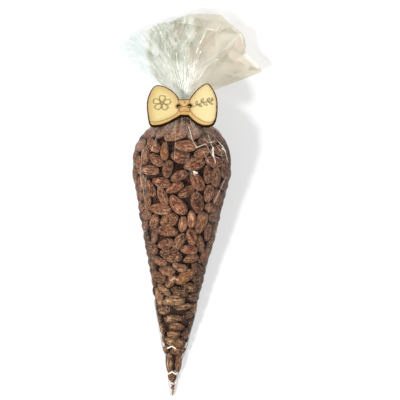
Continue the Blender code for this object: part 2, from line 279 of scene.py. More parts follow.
def scatter_almonds(draw, count, stations_from_to, most_buried):
    """Almonds spread evenly over the film on a spiral, as arrays with one row for each."""
    length = draw.uniform(*ALMOND_LENGTH, count)
    width = length * draw.uniform(*ALMOND_WIDTH_SHARE, count)
    thickness = draw.uniform(*ALMOND_THICKNESS, count)
    stations = np.linspace(*stations_from_to, 400)
    area = np.cumsum(half_width(stations))
    order = (np.arange(count) + 0.5) / count
    station = np.interp(order, area / area[-1], stations)
    turn = GOLDEN_ANGLE * np.arange(count)
    inside = START_DEPTH_SHARE * half_width(station)
    height = axis_height(station) + FLATTENING * inside * np.sin(turn)
    middle = np.stack([inside * np.cos(turn), station - ORIGIN_STATION, height], axis=-1)
    lean_limit = np.where(station < CROSSWISE_BELOW, *MOST_LEAN)
    lean = draw.uniform(-1, 1, count) * lean_limit
    across = np.stack([-np.sin(turn), np.zeros_like(turn), np.cos(turn)], axis=-1)
    along = np.array([0.0, 1.0, 0.0])
    axis = across * np.cos(lean)[:, None] + along * np.sin(lean)[:, None]
    buried = draw.uniform(0, most_buried, count)
    sizes = dict(length=length, width=width, thickness=thickness)
    return dict(**sizes, middle=middle, axis=axis, buried=buried)


def balls_of(almonds):
    """The middles of the three balls of each almond, and their radii."""
    reach = BALL_PLACES * almonds["length"][:, None]
    middles = almonds["middle"][:, None, :] + almonds["axis"][:, None, :] * reach[:, :, None]
    return middles.reshape(-1, 3), (BALL_SIZES * almonds["width"][:, None]).reshape(-1)


def settle_almonds(almonds, inset=0.0, held=None):
    """Pushes the almonds apart, away from the held ones, and against the film."""
    count = len(almonds["length"])
    reach = BALL_PLACES * almonds["length"][:, None]
    thickness = almonds["thickness"]
    half_thickness = np.repeat(thickness / 2, 3)
    owner = np.repeat(np.arange(count), 3)
    held_balls, held_radius = balls_of(held) if held else (np.zeros((0, 3)), np.zeros(0))
    owner_or_held = np.concatenate([owner, np.full(len(held_balls), -1)])
    apart = owner[:, None] != owner_or_held[None, :]
    for _ in range(SETTLING_STEPS):
        balls, radius = balls_of(almonds)
        others = np.concatenate([balls, held_balls])
        gap = balls[:, None, :] - others[None, :, :]
        distance = np.linalg.norm(gap, axis=-1) + 1e-9
        touching = radius[:, None] + np.concatenate([radius, held_radius])[None, :]
        overlap = np.clip(touching - distance, 0, None) * apart
        push = (gap * (overlap / distance)[:, :, None]).sum(axis=1) * PUSH_SHARE
        normal, depth = outward(balls, inset)
        push -= normal * np.clip(half_thickness - depth, -SLACK, None)[:, None]
        push[:, 2] += np.clip(half_thickness + TABLE_GAP - balls[:, 2], 0, None)
        push = push.reshape(-1, 3, 3)
        middle_normal, middle_depth = outward(almonds["middle"], inset)
        pull = np.clip(middle_depth - thickness / 2 - almonds["buried"], -MM, MM) * PULL_SHARE
        almonds["middle"] = almonds["middle"] + push.mean(axis=1) + middle_normal * pull[:, None]
        axis = almonds["axis"] * (reach[:, 2] - reach[:, 0])[:, None] + push[:, 2] - push[:, 0]
        almonds["axis"] = axis / np.linalg.norm(axis, axis=-1, keepdims=True)
    return almonds


draw = np.random.default_rng(11)
outer = settle_almonds(scatter_almonds(draw, OUTER_ALMONDS, OUTER_STATIONS, OUTER_BURIED))
inner = scatter_almonds(draw, INNER_ALMONDS, INNER_STATIONS, INNER_BURIED)
inner = settle_almonds(inner, INNER_INSET, outer)
print(f"settled {OUTER_ALMONDS} outer and {INNER_ALMONDS} inner almonds")

# %% [markdown]
# ## The shape of one almond
# An almond is a flattened drop: blunt at one end, pointed at the other, with a keel along its sides
# where the two halves of the kernel meet. Roasting shrivels it, so no two are alike. A ball of 48
# faces is enough for a cage. Each almond moves the cage's points by its own length, width, bend and
# dents, and one Subdivision Surface at the end rounds all of them. The cage keeps each point's place
# on the almond, so that wrinkles in the skin can run along it, and how near it is to the rim of the
# flat side.

# %% Model the almonds
CAGE_SIDES = 8
CAGE_RINGS = 6
ROUNDING_LOSS = 1.09  # the Subdivision Surface draws the cage in by about this much
LENGTH_VARIES = (0.86, 1.0)
WIDTH_VARIES = (0.98, 1.14)
BLUNTNESS = (0.04, 0.22)  # how much wider the blunt end is than the pointed one
POINT_STARTS = 0.35  # along the almond, from its middle towards the pointed end
POINT_SHARPNESS = (0.0, 0.32)
KEEL = 0.24  # how much thinner the almond is at its sides
MOST_BEND = 0.18
MOST_DENT = 0.17
FILM_HOLDS = 0.35 * MM
SHRIVELLED_SHARE = 0.22  # of the almonds, which are narrower and more dented
TAN_FROM = 215 * MM  # towards the tip the almonds turn from reddish brown to tan
TAN_TO = 95 * MM
TAN_VARIES = 0.35
SKIN_SPREAD = 60.0  # millimetres of pattern from which each almond takes its own part


def almond_cage():
    build = bmesh.new()
    bmesh.ops.create_uvsphere(build, u_segments=CAGE_SIDES, v_segments=CAGE_RINGS, radius=1)
    bmesh.ops.rotate(build, verts=build.verts, matrix=Matrix.Rotation(math.pi / 2, 3, "Y"))
    cage = bpy.data.meshes.new("almond_cage")
    build.to_mesh(cage)
    build.free()
    return cage


def almond_points(ball, length, width, thickness, draw):
    """Moves the points of a unit ball to those of one almond, along X and flat in Z."""
    along, across, up = ball.T
    point = np.clip((along - POINT_STARTS) / (1 - POINT_STARTS), 0, 1)
    slim = (1 - draw.uniform(*BLUNTNESS) * along) * (1 - draw.uniform(*POINT_SHARPNESS) * point**2)
    turn = np.arctan2(up, across)
    shrivelled = draw.uniform() < SHRIVELLED_SHARE
    dents = 0.55 * np.cos(2 * turn + draw.uniform(0, 6)) + 0.45 * np.cos(3 * turn + 4 * along)
    dents += 0.6 * np.cos(draw.uniform(2, 5) * along + draw.uniform(0, 6))
    slim = slim * (1 + dents * MOST_DENT * (draw.uniform(0.2, 0.75) + 0.4 * shrivelled))
    bend, curl = draw.uniform(-MOST_BEND, MOST_BEND, 2) * (1 + shrivelled)
    width = width * draw.uniform(*WIDTH_VARIES) * (1 - 0.18 * shrivelled)
    y = (across * slim + bend * (1 - along**2)) * width / 2
    z = (up * slim * (1 - KEEL * across**2) + curl * (1 - along**2)) * thickness / 2
    x = along * length * draw.uniform(*LENGTH_VARIES) / 2
    return np.stack([x, y, z], axis=-1) * ROUNDING_LOSS


def held_by_film(points):
    """Flattens an almond where it would stand out through the taut film."""
    station = points[:, 1] + ORIGIN_STATION
    width = half_width(station) - FILM_HOLDS
    centre = axis_height(station)
    share = np.hypot(points[:, 0] / width, (points[:, 2] - centre) / (width * FLATTENING))
    held = 1 / np.maximum(share, 1)
    return np.stack([points[:, 0] * held, points[:, 1], centre + (points[:, 2] - centre) * held], axis=-1)


def add_almond(build, cage, size, middle, axis, normal, tone, draw):
    """One almond with its length along the axis and its flat side to the film."""
    first = len(build.verts)
    build.from_mesh(cage)
    build.verts.ensure_lookup_table()
    corners = build.verts[first:]
    ball = np.array([corner.co for corner in corners])
    own = almond_points(ball, *size, draw)
    side = np.cross(normal, axis)
    side /= np.linalg.norm(side)
    turn = np.stack([axis, side, np.cross(axis, side)])
    placed = held_by_film(own @ turn + middle)
    placed[:, 2] += max(TABLE_GAP - placed[:, 2].min(), 0)
    skin = own / MM + draw.uniform(0, SKIN_SPREAD, 3)
    rim = np.hypot(ball[:, 0], ball[:, 1])
    towards_tip = (TAN_FROM - middle[1] - ORIGIN_STATION) / (TAN_FROM - TAN_TO)
    tan = min(max(towards_tip, 0), 1) + draw.uniform(-TAN_VARIES, TAN_VARIES)
    tone_layer, rim_layer, tan_layer = (build.verts.layers.float[name] for name in ("tone", "rim", "tan"))
    skin_layer = build.verts.layers.float_vector["skin"]
    for i, corner in enumerate(corners):
        corner.co = placed[i]
        corner[skin_layer] = skin[i]
        corner[rim_layer] = rim[i]
        corner[tan_layer] = tan
        corner[tone_layer] = tone


# %% [markdown]
# ## The almonds in the photographed places
# Where the bag is narrow, each almond can be told apart in the photo, so those nearest the tip are
# placed one by one: two side by side along the bag, with others across it above them and a broken
# piece below. In the heap two almonds are golden and four glossy where the rest are brown. The places
# below are where they show on the bag, as X and station in millimetres. Each placed almond lies
# against the upper film, and one more lies below it where the bag is thick enough.

# %% Add all the almonds
SETTLED_FROM = 101 * MM  # nearer the tip, placed almonds take over from the settled ones
TIP_ALMONDS = [  # X, station, length, width, thickness, lean from across the bag in degrees, tone
    (7.7, 95.4, 21.0, 9.5, 7.5, 4, 0.85),
    (-11.4, 90.6, 15.5, 11.0, 7.5, 15, 0.75),
    (-9.0, 99.0, 13.0, 8.0, 7.0, -8, 0.05),
    (13.0, 87.2, 14.5, 7.6, 7.0, 0, 0.15),
    (18.6, 94.0, 14.0, 8.6, 7.0, 76, 0.90),
    (-17.0, 82.6, 13.5, 8.2, 7.0, 102, 0.35),
    (-1.8, 82.2, 22.5, 8.4, 7.0, 8, 0.60),
    (1.6, 74.6, 16.0, 8.0, 7.0, -6, 0.45),
    (-13.4, 72.4, 14.0, 8.2, 6.8, 98, 0.65),
    (15.0, 78.0, 13.0, 8.4, 6.8, 80, 0.40),
    (-1.2, 67.0, 14.5, 7.8, 6.8, 2, 0.80),
    (10.2, 67.2, 13.5, 8.0, 6.8, 84, 0.10),
    (-10.6, 61.8, 10.5, 7.0, 6.4, 84, 0.05),
    (0.2, 58.3, 25.0, 11.5, 8.0, -12, 0.75),
    (3.6, 50.0, 19.5, 8.5, 7.0, 4, 0.40),
    (-7.6, 50.5, 10.5, 7.4, 6.0, 60, 0.05),
    (-4.3, 37.8, 22.5, 9.6, 7.6, 86, 1.0),
    (4.6, 37.4, 23.0, 9.2, 7.6, 97, 0.5),
    (-0.5, 22.0, 11.6, 11.6, 6.4, -92, 0.60),
]
TIP_LAYER_RISE = 0.30  # of the bag's half height, the least rise of a placed almond above the axis
TIP_BURIED = 0.8 * MM  # how far a placed almond lies under the film
MARKED_PLACES = [  # X, station and tone: over 1 is golden and over 2 is glossy
    (-12.6, 247.6, 1.6), (10.0, 121.5, 1.4), (18.8, 213.0, 2.6), (-2.0, 212.0, 2.3),
    (12.0, 232.0, 2.3), (6.0, 168.0, 2.3),
]  # fmt: skip
ALMOND_TONES = (0.0, 1.0)
# The almonds behind get darker tones: painted shade in the gaps of the outer layer.
INNER_SHADED_TONES = (-0.8, -0.3)


def marked_almonds(almonds):
    """The tone of the almond nearest to each marked place, among those that face up."""
    found = {}
    for x, station, tone in MARKED_PLACES:
        away_x = almonds["middle"][:, 0] - x * MM
        away_y = almonds["middle"][:, 1] + ORIGIN_STATION - station * MM
        faces_up = almonds["middle"][:, 2] > axis_height(station * MM)
        found[int(np.argmin(np.where(faces_up, np.hypot(away_x, away_y), 1.0)))] = tone
    return found


def add_layer(build, cage, almonds, inset, tones, draw):
    normal, _ = outward(almonds["middle"], inset)
    marked = marked_almonds(almonds) if inset == 0 else {}
    for i, middle in enumerate(almonds["middle"]):
        tone = marked.get(i, draw.uniform(*tones))
        size = (almonds["length"][i], almonds["width"][i], almonds["thickness"][i])
        if middle[1] + ORIGIN_STATION > SETTLED_FROM:
            add_almond(build, cage, size, middle, almonds["axis"][i], normal[i], tone, draw)


def add_tip_almonds(build, cage, draw):
    for x, station, length, width, thickness, lean, tone in TIP_ALMONDS:
        for side, own_lean in ((1, lean), (-1, 180 - lean)):
            half = float(half_width(station * MM))
            under_film = FLATTENING * math.sqrt(max(half**2 - (x * MM) ** 2, 0))
            rise = max(under_film - thickness * MM / 2 - TIP_BURIED, FLATTENING * half * TIP_LAYER_RISE)
            if side < 0 and rise < thickness * MM / 4:
                continue  # the bag is only one almond thick here
            height = float(axis_height(station * MM)) + side * rise
            middle = np.array([side * x * MM, station * MM - ORIGIN_STATION, height])
            normal, _ = outward(middle)
            angle = math.radians(own_lean)
            axis = np.array([math.cos(angle), math.sin(angle), 0.0])
            axis -= normal * (axis @ normal)
            size = (length * MM, width * MM, thickness * MM)
            add_almond(build, cage, size, middle, axis / np.linalg.norm(axis), normal, tone, draw)


cage = almond_cage()
almonds_build = bmesh.new()
for name in ("tone", "rim", "tan"):
    almonds_build.verts.layers.float.new(name)
almonds_build.verts.layers.float_vector.new("skin")
add_layer(almonds_build, cage, outer, 0.0, ALMOND_TONES, draw)
add_layer(almonds_build, cage, inner, INNER_INSET, INNER_SHADED_TONES, draw)
add_tip_almonds(almonds_build, cage, draw)

# %% [markdown]
# ## The skin of a smoked almond
# The skin is a dark reddish brown, shrivelled into ridges that run from end to end, with a fine
# dust of smoke salt. The ridges are paler and the furrows darker; that is in part the skin's own
# colour and in part painted light and shade. Four noises make it: a long stretched one for the
# wrinkles, a broad one for light and dark patches, a very broad one that makes some almonds greyer,
# and a fine one for the salt. They read the place that each almond keeps on its own body, so the
# pattern stays with the almond however it lies. Towards the tip the reds turn to tans. A few almonds
# are golden or glossy instead, and dust lies along the rim of the red ones, where the tan ones have a
# dark line of painted shade. The almonds behind are given darker tones, which are painted shade.

# %% The almond skin
SKIN_REDS = [
    (0.08, (24, 10, 7)), (0.30, (60, 27, 17)), (0.52, (106, 57, 36)), (0.76, (154, 98, 70)),
    (1.00, (218, 172, 138)),
]  # fmt: skip
SKIN_TANS = [
    (0.08, (22, 11, 6)), (0.30, (60, 34, 19)), (0.52, (110, 70, 43)), (0.76, (166, 122, 82)),
    (1.00, (228, 190, 146)),
]  # fmt: skip
SKIN_GLOSSES = [(0.1, (58, 24, 14)), (0.5, (106, 52, 31)), (0.9, (180, 126, 90))]
SKIN_GOLDS = [(0.2, (92, 50, 24)), (0.6, (138, 88, 48)), (1.0, (182, 134, 84))]
GREYER = (0.80, 0.92, 1.0, 1)
# Paler ridges and darker furrows: in part the skin's colour, in part painted light and shade.
RIDGE_SHARE = 0.54  # how much of the shade comes from the ridges, the almond's own tone and patches
TONE_SHARE = 0.24
PATCH_SHARE = 0.28
# Rim shares: pale dust on the reddest almonds, a near-black rim of painted shade on the tannest.
RIM_DUST_AND_SHADE = (0.54, 0.94)  # on the reddest almonds and on the tannest
SALT_SHARE = 0.52


def skin_brown(tree, shade, tan, own):
    """The brown of most almonds: red or tan, and on some of them greyer."""
    reds = colour_steps(tree, shade, SKIN_REDS)
    brown = blend_colours(tree, tan, reds, colour_steps(tree, shade, SKIN_TANS))
    greyed = blend_colours(tree, 1.0, brown, GREYER, "MULTIPLY")
    return blend_colours(tree, within(tree, own, 0.46, 0.62), brown, greyed)


def add_dust_and_rim_shade(tree, colour, tone, tan, salt):
    """Rim dust on red almonds, a rim of painted shade on tan ones, and salt; none on almonds behind."""
    shown = within(tree, tone, -0.3, 0.1)
    rim = within(tree, kept(tree, "rim"), 0.66, 0.98)
    dust_and_shade_rim = times(tree, rim, times(tree, shown, spread(tree, tan, *RIM_DUST_AND_SHADE)))
    # Pale dust for red almonds, near-black painted shade for tan ones.
    rim_dust_and_shade = blend_colours(tree, tan, screen_colour(126, 96, 78), screen_colour(20, 11, 7))
    colour = blend_colours(tree, dust_and_shade_rim, colour, rim_dust_and_shade)
    dusted = times(tree, salt, times(tree, shown, SALT_SHARE))
    return blend_colours(tree, dusted, colour, screen_colour(222, 176, 142))


def almond_skin():
    finish, tree, shader = new_finish("almond_skin")
    skin = kept(tree, "skin", "Vector")
    tone = kept(tree, "tone")
    tan = within(tree, kept(tree, "tan"), 0.1, 1.0)
    wrinkles = grain_noise(tree, stretched(tree, skin, 0.34, 1, 1), 0.46, 4, 0.66)
    patches = within(tree, grain_noise(tree, skin, 0.15, 2, 0.5), 0.3, 0.7)
    own = grain_noise(tree, skin, 0.03, 1, 0.5)
    salt = within(tree, grain_noise(tree, skin, 0.62, 2, 0.55), 0.53, 0.63)
    # Paler on the ridges and darker in the furrows, where the bump is low: in part painted shade.
    ridge = within(tree, wrinkles, 0.36, 0.64)
    shade = plus(tree, times(tree, ridge, RIDGE_SHARE), times(tree, tone, TONE_SHARE))
    shade = plus(tree, shade, times(tree, patches, PATCH_SHARE))
    colour = skin_brown(tree, shade, tan, own)
    golden = within(tree, tone, 1.2, 1.4)
    colour = blend_colours(tree, golden, colour, colour_steps(tree, ridge, SKIN_GOLDS))
    glossy = within(tree, tone, 2.0, 2.1)
    colour = blend_colours(tree, glossy, colour, colour_steps(tree, ridge, SKIN_GLOSSES))
    dull = spread(tree, patches, 0.34, 0.60)
    relief = plus(tree, wrinkles, times(tree, salt, 0.25))
    inputs = {
        "Base Color": add_dust_and_rim_shade(tree, colour, tone, tan, salt),
        "Roughness": calculate(tree, "SUBTRACT", dull, times(tree, glossy, 0.16)),
        "Specular IOR Level": 0.35,
        "Normal": add_bump(tree, relief, 1.0, 3.0 * MM),
    }
    fill_inputs(tree, shader, inputs)
    return finish


almonds_piece = add_piece("almonds", almonds_build, almond_skin(), "smoked_almond", "almond_cone")
rounding = almonds_piece.modifiers.new("rounding", "SUBSURF")
rounding.levels = 1
rounding.render_levels = 1

# %% [markdown]
# ## The heart of the heap
# Behind the two layers the bag is full of more almonds that can't be seen. A dark core stands in
# for them. It is a tube of Blender's grid, drawn in to two closed ends, and its rough near-black
# finish is painted shade, the shadow seen in the gaps. Towards the tip it reaches further to the
# sides than up, so that no floor shows between the almonds there.

# %% The core
CORE_FROM = 27 * MM
CORE_TO = 292 * MM
CORE_INSETS = (8 * MM, 11 * MM)  # at the sides, and at the top and bottom
CORE_LEAST_WIDTHS = (0.80, 0.72)  # of the bag's half width, towards the tip and towards the tie
CORE_LEAST_HEIGHTS = (0.28, 0.72)


def core_place(u, v):
    station = CORE_FROM + (CORE_TO - CORE_FROM) * v
    closing = np.sqrt(np.clip(1 - np.abs(2 * v - 1) ** 12, 0, 1))
    width = half_width(station)
    towards_tie = (station > BELLY).astype(int)
    least_width = width * np.array(CORE_LEAST_WIDTHS)[towards_tie]
    least_height = width * np.array(CORE_LEAST_HEIGHTS)[towards_tie]
    across = np.maximum(width - CORE_INSETS[0], least_width) * closing
    up = np.maximum(width - CORE_INSETS[1], least_height) * closing
    angle = 2 * math.pi * u
    x = across * np.cos(angle)
    z = axis_height(station) + FLATTENING * up * np.sin(angle)
    return np.stack([x, station - ORIGIN_STATION, z], axis=-1), {}


def painted_shade_core_finish():
    finish, tree, shader = new_finish("shaded_heap")
    place = add_node(tree, "TexCoord").outputs["Object"]
    patches = grain_noise(tree, place, 90, 3)
    # Near-black browns: painted shade for the gaps between the almonds.
    browns = [(0.3, (24, 14, 11)), (0.7, (62, 38, 28))]
    colour = colour_steps(tree, patches, browns)
    bump = add_bump(tree, patches, 0.6, 2 * MM)
    fill_inputs(tree, shader, {"Base Color": colour, "Roughness": 0.85, "Normal": bump})
    return finish


add_piece("heap_core", bent_grid(24, 60, core_place), painted_shade_core_finish(), "smoked_almond", "almond_cone")

# %% [markdown]
# ## Creases in the film
# Film can't stretch, so it folds. Each fold is a line along which the film stands up a little and
# turns milky. Its white line is in part that milkiness and in part painted highlight, and the
# strongest routes and the chevrons are painted glints. The folds that show are given as routes on
# the bag, seen from above, as X and station in millimetres. Others that no one would miss are drawn
# by chance, from a seed. A crease is thinner than the grid of the film is fine. So the film keeps,
# at each point, how far it is to one side of the nearest crease, and the material draws the line
# where that is zero.

# %% Creases on the filled bag
# The strongest routes, and the three chevrons at the end, are painted glints.
SHOULDER_CREASES_AND_GLINTS = [  # strength, then the route
    (0.75, [(3.1, 282.4), (10.0, 260.7), (14.3, 253.8), (23.1, 258.2)]),
    (0.45, [(20.4, 251.1), (27.9, 239.4)]),
    (0.3, [(-9.0, 283.9), (-7.2, 262.0), (-7.2, 240.9)]),
    (0.4, [(-9.3, 282.2), (-17.9, 271.9)]),
    (0.4, [(-25.0, 270.7), (-30.3, 248.9)]),
    (0.35, [(-39.5, 250.0), (-41.7, 228.4), (-37.9, 209.6), (-37.0, 203.0)]),
    (0.3, [(-37.5, 232.0), (-34.6, 224.0), (-37.4, 210.0)]),
    (0.3, [(-24.0, 276.0), (-33.0, 262.0), (-39.5, 246.0)]),
    (0.55, [(45.5, 227.2), (34.6, 200.7)]),
    (1.7, [(30.3, 255.5), (31.7, 245.6)]),
    (0.9, [(31.7, 245.6), (33.4, 239.8)]),
    (0.5, [(23.1, 258.2), (27.4, 251.3), (30.6, 246.4)]),
    (0.5, [(21.0, 263.5), (26.2, 259.0), (31.8, 262.0)]),
    (0.6, [(25.0, 267.5), (29.5, 256.5)]),
    (0.5, [(30.5, 268.0), (38.0, 258.6)]),
    (1.3, [(37.0, 260.4), (43.2, 250.4)]),
    (1.5, [(12.3, 230.7), (16.2, 228.9)]),
    (0.8, [(12.3, 230.7), (13.4, 226.7)]),
    (0.7, [(43.2, 250.4), (47.0, 241.0)]),
    (0.45, [(34.0, 257.0), (39.5, 250.5), (41.0, 243.0)]),
    (1.6, [(-5.4, 24.8), (-1.6, 27.4), (3.4, 24.8)]),
    (1.5, [(-7.0, 51.7), (-2.9, 54.2), (1.6, 51.9)]),
    (0.6, [(-6.6, 121.4), (-2.7, 124.4), (1.9, 121.8)]),
]
CREASE_WIDTH = (0.22, 0.40)  # millimetres to each side, for the faintest, and added by the strength
CREASE_WINDOW = 2.4  # millimetres to each side over which a crease is kept
RIDGE_WIDTH = 1.1
RIDGE_HEIGHT = 0.5 * MM
CHANCE_CREASES = 110


def distance_to_route(x, y, route):
    """Distance in the plan from each point to a route of straight lines, all in millimetres."""
    nearest = np.full(np.shape(x), np.inf)
    for (x0, y0), (x1, y1) in zip(route, route[1:]):
        run_x = x1 - x0
        run_y = y1 - y0
        share = np.clip(((x - x0) * run_x + (y - y0) * run_y) / (run_x**2 + run_y**2), 0, 1)
        nearest = np.minimum(nearest, np.hypot(x - x0 - share * run_x, y - y0 - share * run_y))
    return nearest


def straight_crease(x, y, start, end, strength):
    """How far each point is to one side of a straight crease, and the crease's strength there."""
    run_x, run_y = end[0] - start[0], end[1] - start[1]
    length = math.hypot(run_x, run_y)
    along = ((x - start[0]) * run_x + (y - start[1]) * run_y) / length
    side = ((x - start[0]) * run_y - (y - start[1]) * run_x) / length
    beyond = np.maximum(np.maximum(-along, along - length), 0)
    return side, strength * np.clip(1 - beyond / 0.8, 0, 1)


def nearest_crease(creases, shape):
    """At each point, the side and strength of the nearest of the creases."""
    nearest = np.full(shape, 9.0)
    kept = np.zeros(shape)
    for side, strength in creases:
        strength = strength * np.clip((CREASE_WINDOW - np.abs(side)) / 0.5, 0, 1)
        nearer = (strength > 0.02) & (np.abs(side) < np.abs(nearest))
        nearest = np.where(nearer, side, nearest)
        kept = np.where(nearer, strength, kept)
    return nearest, kept


def route_creases(x, y, routes):
    for strength, route in routes:
        for start, end in zip(route, route[1:]):
            yield straight_crease(x, y, start, end, strength)


def chance_creases(angle, station, width, draw):
    """Creases anywhere round the bag, mostly along it. Each has a turn round the axis and a twist."""
    for _ in range(CHANCE_CREASES):
        start = draw.uniform(60, 289)
        end = max(start - draw.uniform(5, 24), 20)
        turn = draw.uniform(0, 2 * math.pi)
        twist = draw.uniform(-0.35, 0.35)
        share = np.clip((start - station) / (start - end), 0, 1)
        bow = 0.12 * np.sin(math.pi * share) * draw.uniform(-1, 1)
        side = np.angle(np.exp(1j * (angle - turn - twist * share - bow))) * width
        beyond = np.maximum(np.maximum(station - start, end - station), 0)
        strength = draw.uniform(0.08, 0.34) * (1.0 if start > 195 else 0.4)
        yield side, strength * np.clip(1 - beyond, 0, 1)


def bag_creases(angle, station, draw):
    width = half_width(station) / MM
    x = width * np.cos(angle)
    from_above = np.sin(angle) > 0
    shown = [(side, level * from_above) for side, level in route_creases(x, station / MM, SHOULDER_CREASES_AND_GLINTS)]
    chance = list(chance_creases(angle, station / MM, width, draw))
    return nearest_crease(shown + chance, station.shape)


# %% [markdown]
# ## The film over the almonds
# The film touches the almonds that stand out most and spans the hollows between them. A cloth
# simulation would find that shape, but a simpler rule does as well. A ray from outside finds how far
# out the almonds reach at each point of the film. The film then starts at the form of the bag and is
# drawn in and smoothed a little at a time, and no point may go below what its ray found.

# %% The film on the filled bag
FILM_AROUND = 260
FILM_ALONG = 330
FILM_TIP = 1.5 * MM
FILM_END = TIE + 0.6 * MM
FILM_CLEARANCE = 0.25 * MM
FILM_ROUNDS = 20
FILM_PULL = 0.08 * MM
GATHER_STARTS = 262 * MM
GATHERS = 17
GATHER_DEPTH = 0.20
LOWEST_FILM = 0.05 * MM


def almond_reach(piece, angle, station):
    """How far out the almonds reach, as a share of the bag's own half width, on a grid."""
    surface = BVHTree.FromObject(piece, bpy.context.evaluated_depsgraph_get())
    reach = np.zeros(angle.shape)
    for index in np.ndindex(angle.shape):
        width = float(half_width(station[index]))
        out = Vector((width * math.cos(angle[index]), 0, FLATTENING * width * math.sin(angle[index])))
        middle = Vector((0, station[index] - ORIGIN_STATION, axis_height(station[index])))
        length = out.length
        hit, _, _, travelled = surface.ray_cast(middle + out * 1.4, -out.normalized(), 1.4 * length)
        if hit:
            reach[index] = 1.4 - travelled / length
    return reach


def smoothed(grid):
    """Each value drawn halfway to its neighbours' mean. The first axis goes round the bag."""
    ends = np.pad(grid, ((0, 0), (1, 1)), mode="edge")
    around = np.roll(grid, 1, axis=0) + np.roll(grid, -1, axis=0)
    return 0.5 * grid + 0.125 * (around + ends[:, 2:] + ends[:, :-2])


def draw_film_in(reach, width):
    """The film's share of the bag's half width, once it is drawn in against the almonds."""
    limit = reach + FILM_CLEARANCE / width
    film = np.maximum(np.ones_like(reach), limit)
    loose = reach > 0
    for _ in range(FILM_ROUNDS):
        film = smoothed(film) - FILM_PULL / width * loose
        film = np.maximum(film, limit)
    return film


def gathers(angle, station):
    """Deep folds that run in to the tie, as a share of the width, positive outward."""
    growth = np.clip((station - GATHER_STARTS) / (TIE - GATHER_STARTS), 0, 1) ** 1.5
    wander = 0.35 * np.sin(3 * angle + 1) + 0.2 * np.sin(7 * angle)
    fold = 2 * np.abs(((GATHERS * angle / (2 * math.pi) + wander) % 1) - 0.5) * 2 - 1
    return GATHER_DEPTH * growth * fold


def cone_film_place(u, v):
    """Places the film. The grid comes as lists, and it is worked on as rows round the bag."""
    around = np.unique(u)
    along = np.unique(v)
    stations = FILM_TIP + (FILM_END - FILM_TIP) * along
    angle, station = np.meshgrid(2 * math.pi * around[:-1], stations, indexing="ij")
    width = half_width(station)
    reach = almond_reach(almonds_piece, angle, station)
    film = draw_film_in(reach, width) + gathers(angle, station)
    side, crease = bag_creases(angle, station, np.random.default_rng(4))
    film += crease * np.exp(-((side / RIDGE_WIDTH) ** 2)) * RIDGE_HEIGHT / width
    gathered = np.clip((station - GATHER_STARTS) / (TIE - GATHER_STARTS), 0, 1)
    turn = np.abs(angle / math.pi - 1)
    row = np.searchsorted(around, u) % (len(around) - 1)
    column = np.searchsorted(along, v)
    angle, station, width, film = (grid[row, column] for grid in (angle, station, width, film))
    side, crease, gathered, turn = (grid[row, column] for grid in (side, crease, gathered, turn))
    x = film * width * np.cos(angle)
    z = axis_height(station) + film * FLATTENING * width * np.sin(angle)
    points = np.stack([x, station - ORIGIN_STATION, np.maximum(z, LOWEST_FILM)], axis=-1)
    return points, {"side": side, "crease": crease, "gathered": gathered, "turn": turn}


# %% [markdown]
# ## What clear film looks like
# Clear film shows itself only by what it reflects: a faint sheen face on, a bright edge where it
# turns away, and white lines at its creases. A glass shader would bend the light and darken
# everything behind it. Mixing a Transparent shader with a glossy one by how much the film reflects
# at that angle is simpler, quicker and closer to thin film. A lit white is then mixed in: the milk
# of its creases, with painted highlights at the creases and a painted sheen where it turns away.

# %% The clear film
EDGE_ON = (0.46, 0.88)  # how far the film is turned away where it starts to look grey, and is greyest
MOST_SHEEN = 0.22


def clear_film(name, clearness, milk, milk_colour, edge_tint, sheen_share, roughness):
    """Film with its see-through tint, its milky share and its sheen."""
    finish, tree, white = new_finish(name)
    place = add_node(tree, "TexCoord").outputs["Object"]
    crinkle = grain_noise(tree, place, 140, 3, 0.5)
    bump = add_bump(tree, crinkle, 0.5, 1.2 * MM)
    fill_inputs(tree, white, {"Base Color": milk_colour, "Roughness": 0.35, "Normal": bump})
    edge_on = within(tree, add_node(tree, "LayerWeight", {"Blend": 0.5}).outputs["Facing"], *EDGE_ON)
    tint = blend_colours(tree, edge_on, clearness(tree), edge_tint)
    through = add_node(tree, "BsdfTransparent", {"Color": tint}).outputs[0]
    mirror = {"Color": (1, 1, 1, 1), "Roughness": roughness, "Normal": bump}
    gloss = add_node(tree, "BsdfAnisotropic", mirror).outputs[0]
    reflected = add_node(tree, "Fresnel", {"IOR": 1.45, "Normal": bump}).outputs[0]
    sheen = times(tree, reflected, sheen_share)
    sheen = calculate(tree, "MINIMUM", sheen, MOST_SHEEN)
    clear = add_node(tree, "MixShader", {0: sheen, 1: through, 2: gloss}).outputs[0]
    mixed = add_node(tree, "MixShader", {0: milk(tree), 1: clear, 2: white.outputs[0]}).outputs[0]
    tree.links.new(mixed, tree.nodes["Material Output"].inputs["Surface"])
    return finish


def crease_lines_and_glints(tree):
    """The creases' white lines, part milky film and part painted highlight, from the kept side and
    strength.
    """
    strength = kept(tree, "crease")
    side = calculate(tree, "ABSOLUTE", kept(tree, "side"))
    width = plus(tree, times(tree, strength, CREASE_WIDTH[1]), CREASE_WIDTH[0])
    line = within(tree, calculate(tree, "DIVIDE", side, width), 1.0, 0.3)
    return calculate(tree, "MULTIPLY", line, strength, clamp=True)


def neck_streaks(tree, gathered):
    """Streaks of white that run in to the tie with the gathers."""
    turn = times(tree, kept(tree, "turn"), 60)
    place = add_node(tree, "CombineXYZ", {"X": turn, "Y": times(tree, gathered, 1.5)}).outputs[0]
    streaks = within(tree, grain_noise(tree, place, 1.0, 1, 0.5), 0.50, 0.66)
    streaks = spread(tree, streaks, 0.20, 0.42)
    return times(tree, streaks, within(tree, gathered, 0.0, 0.5))


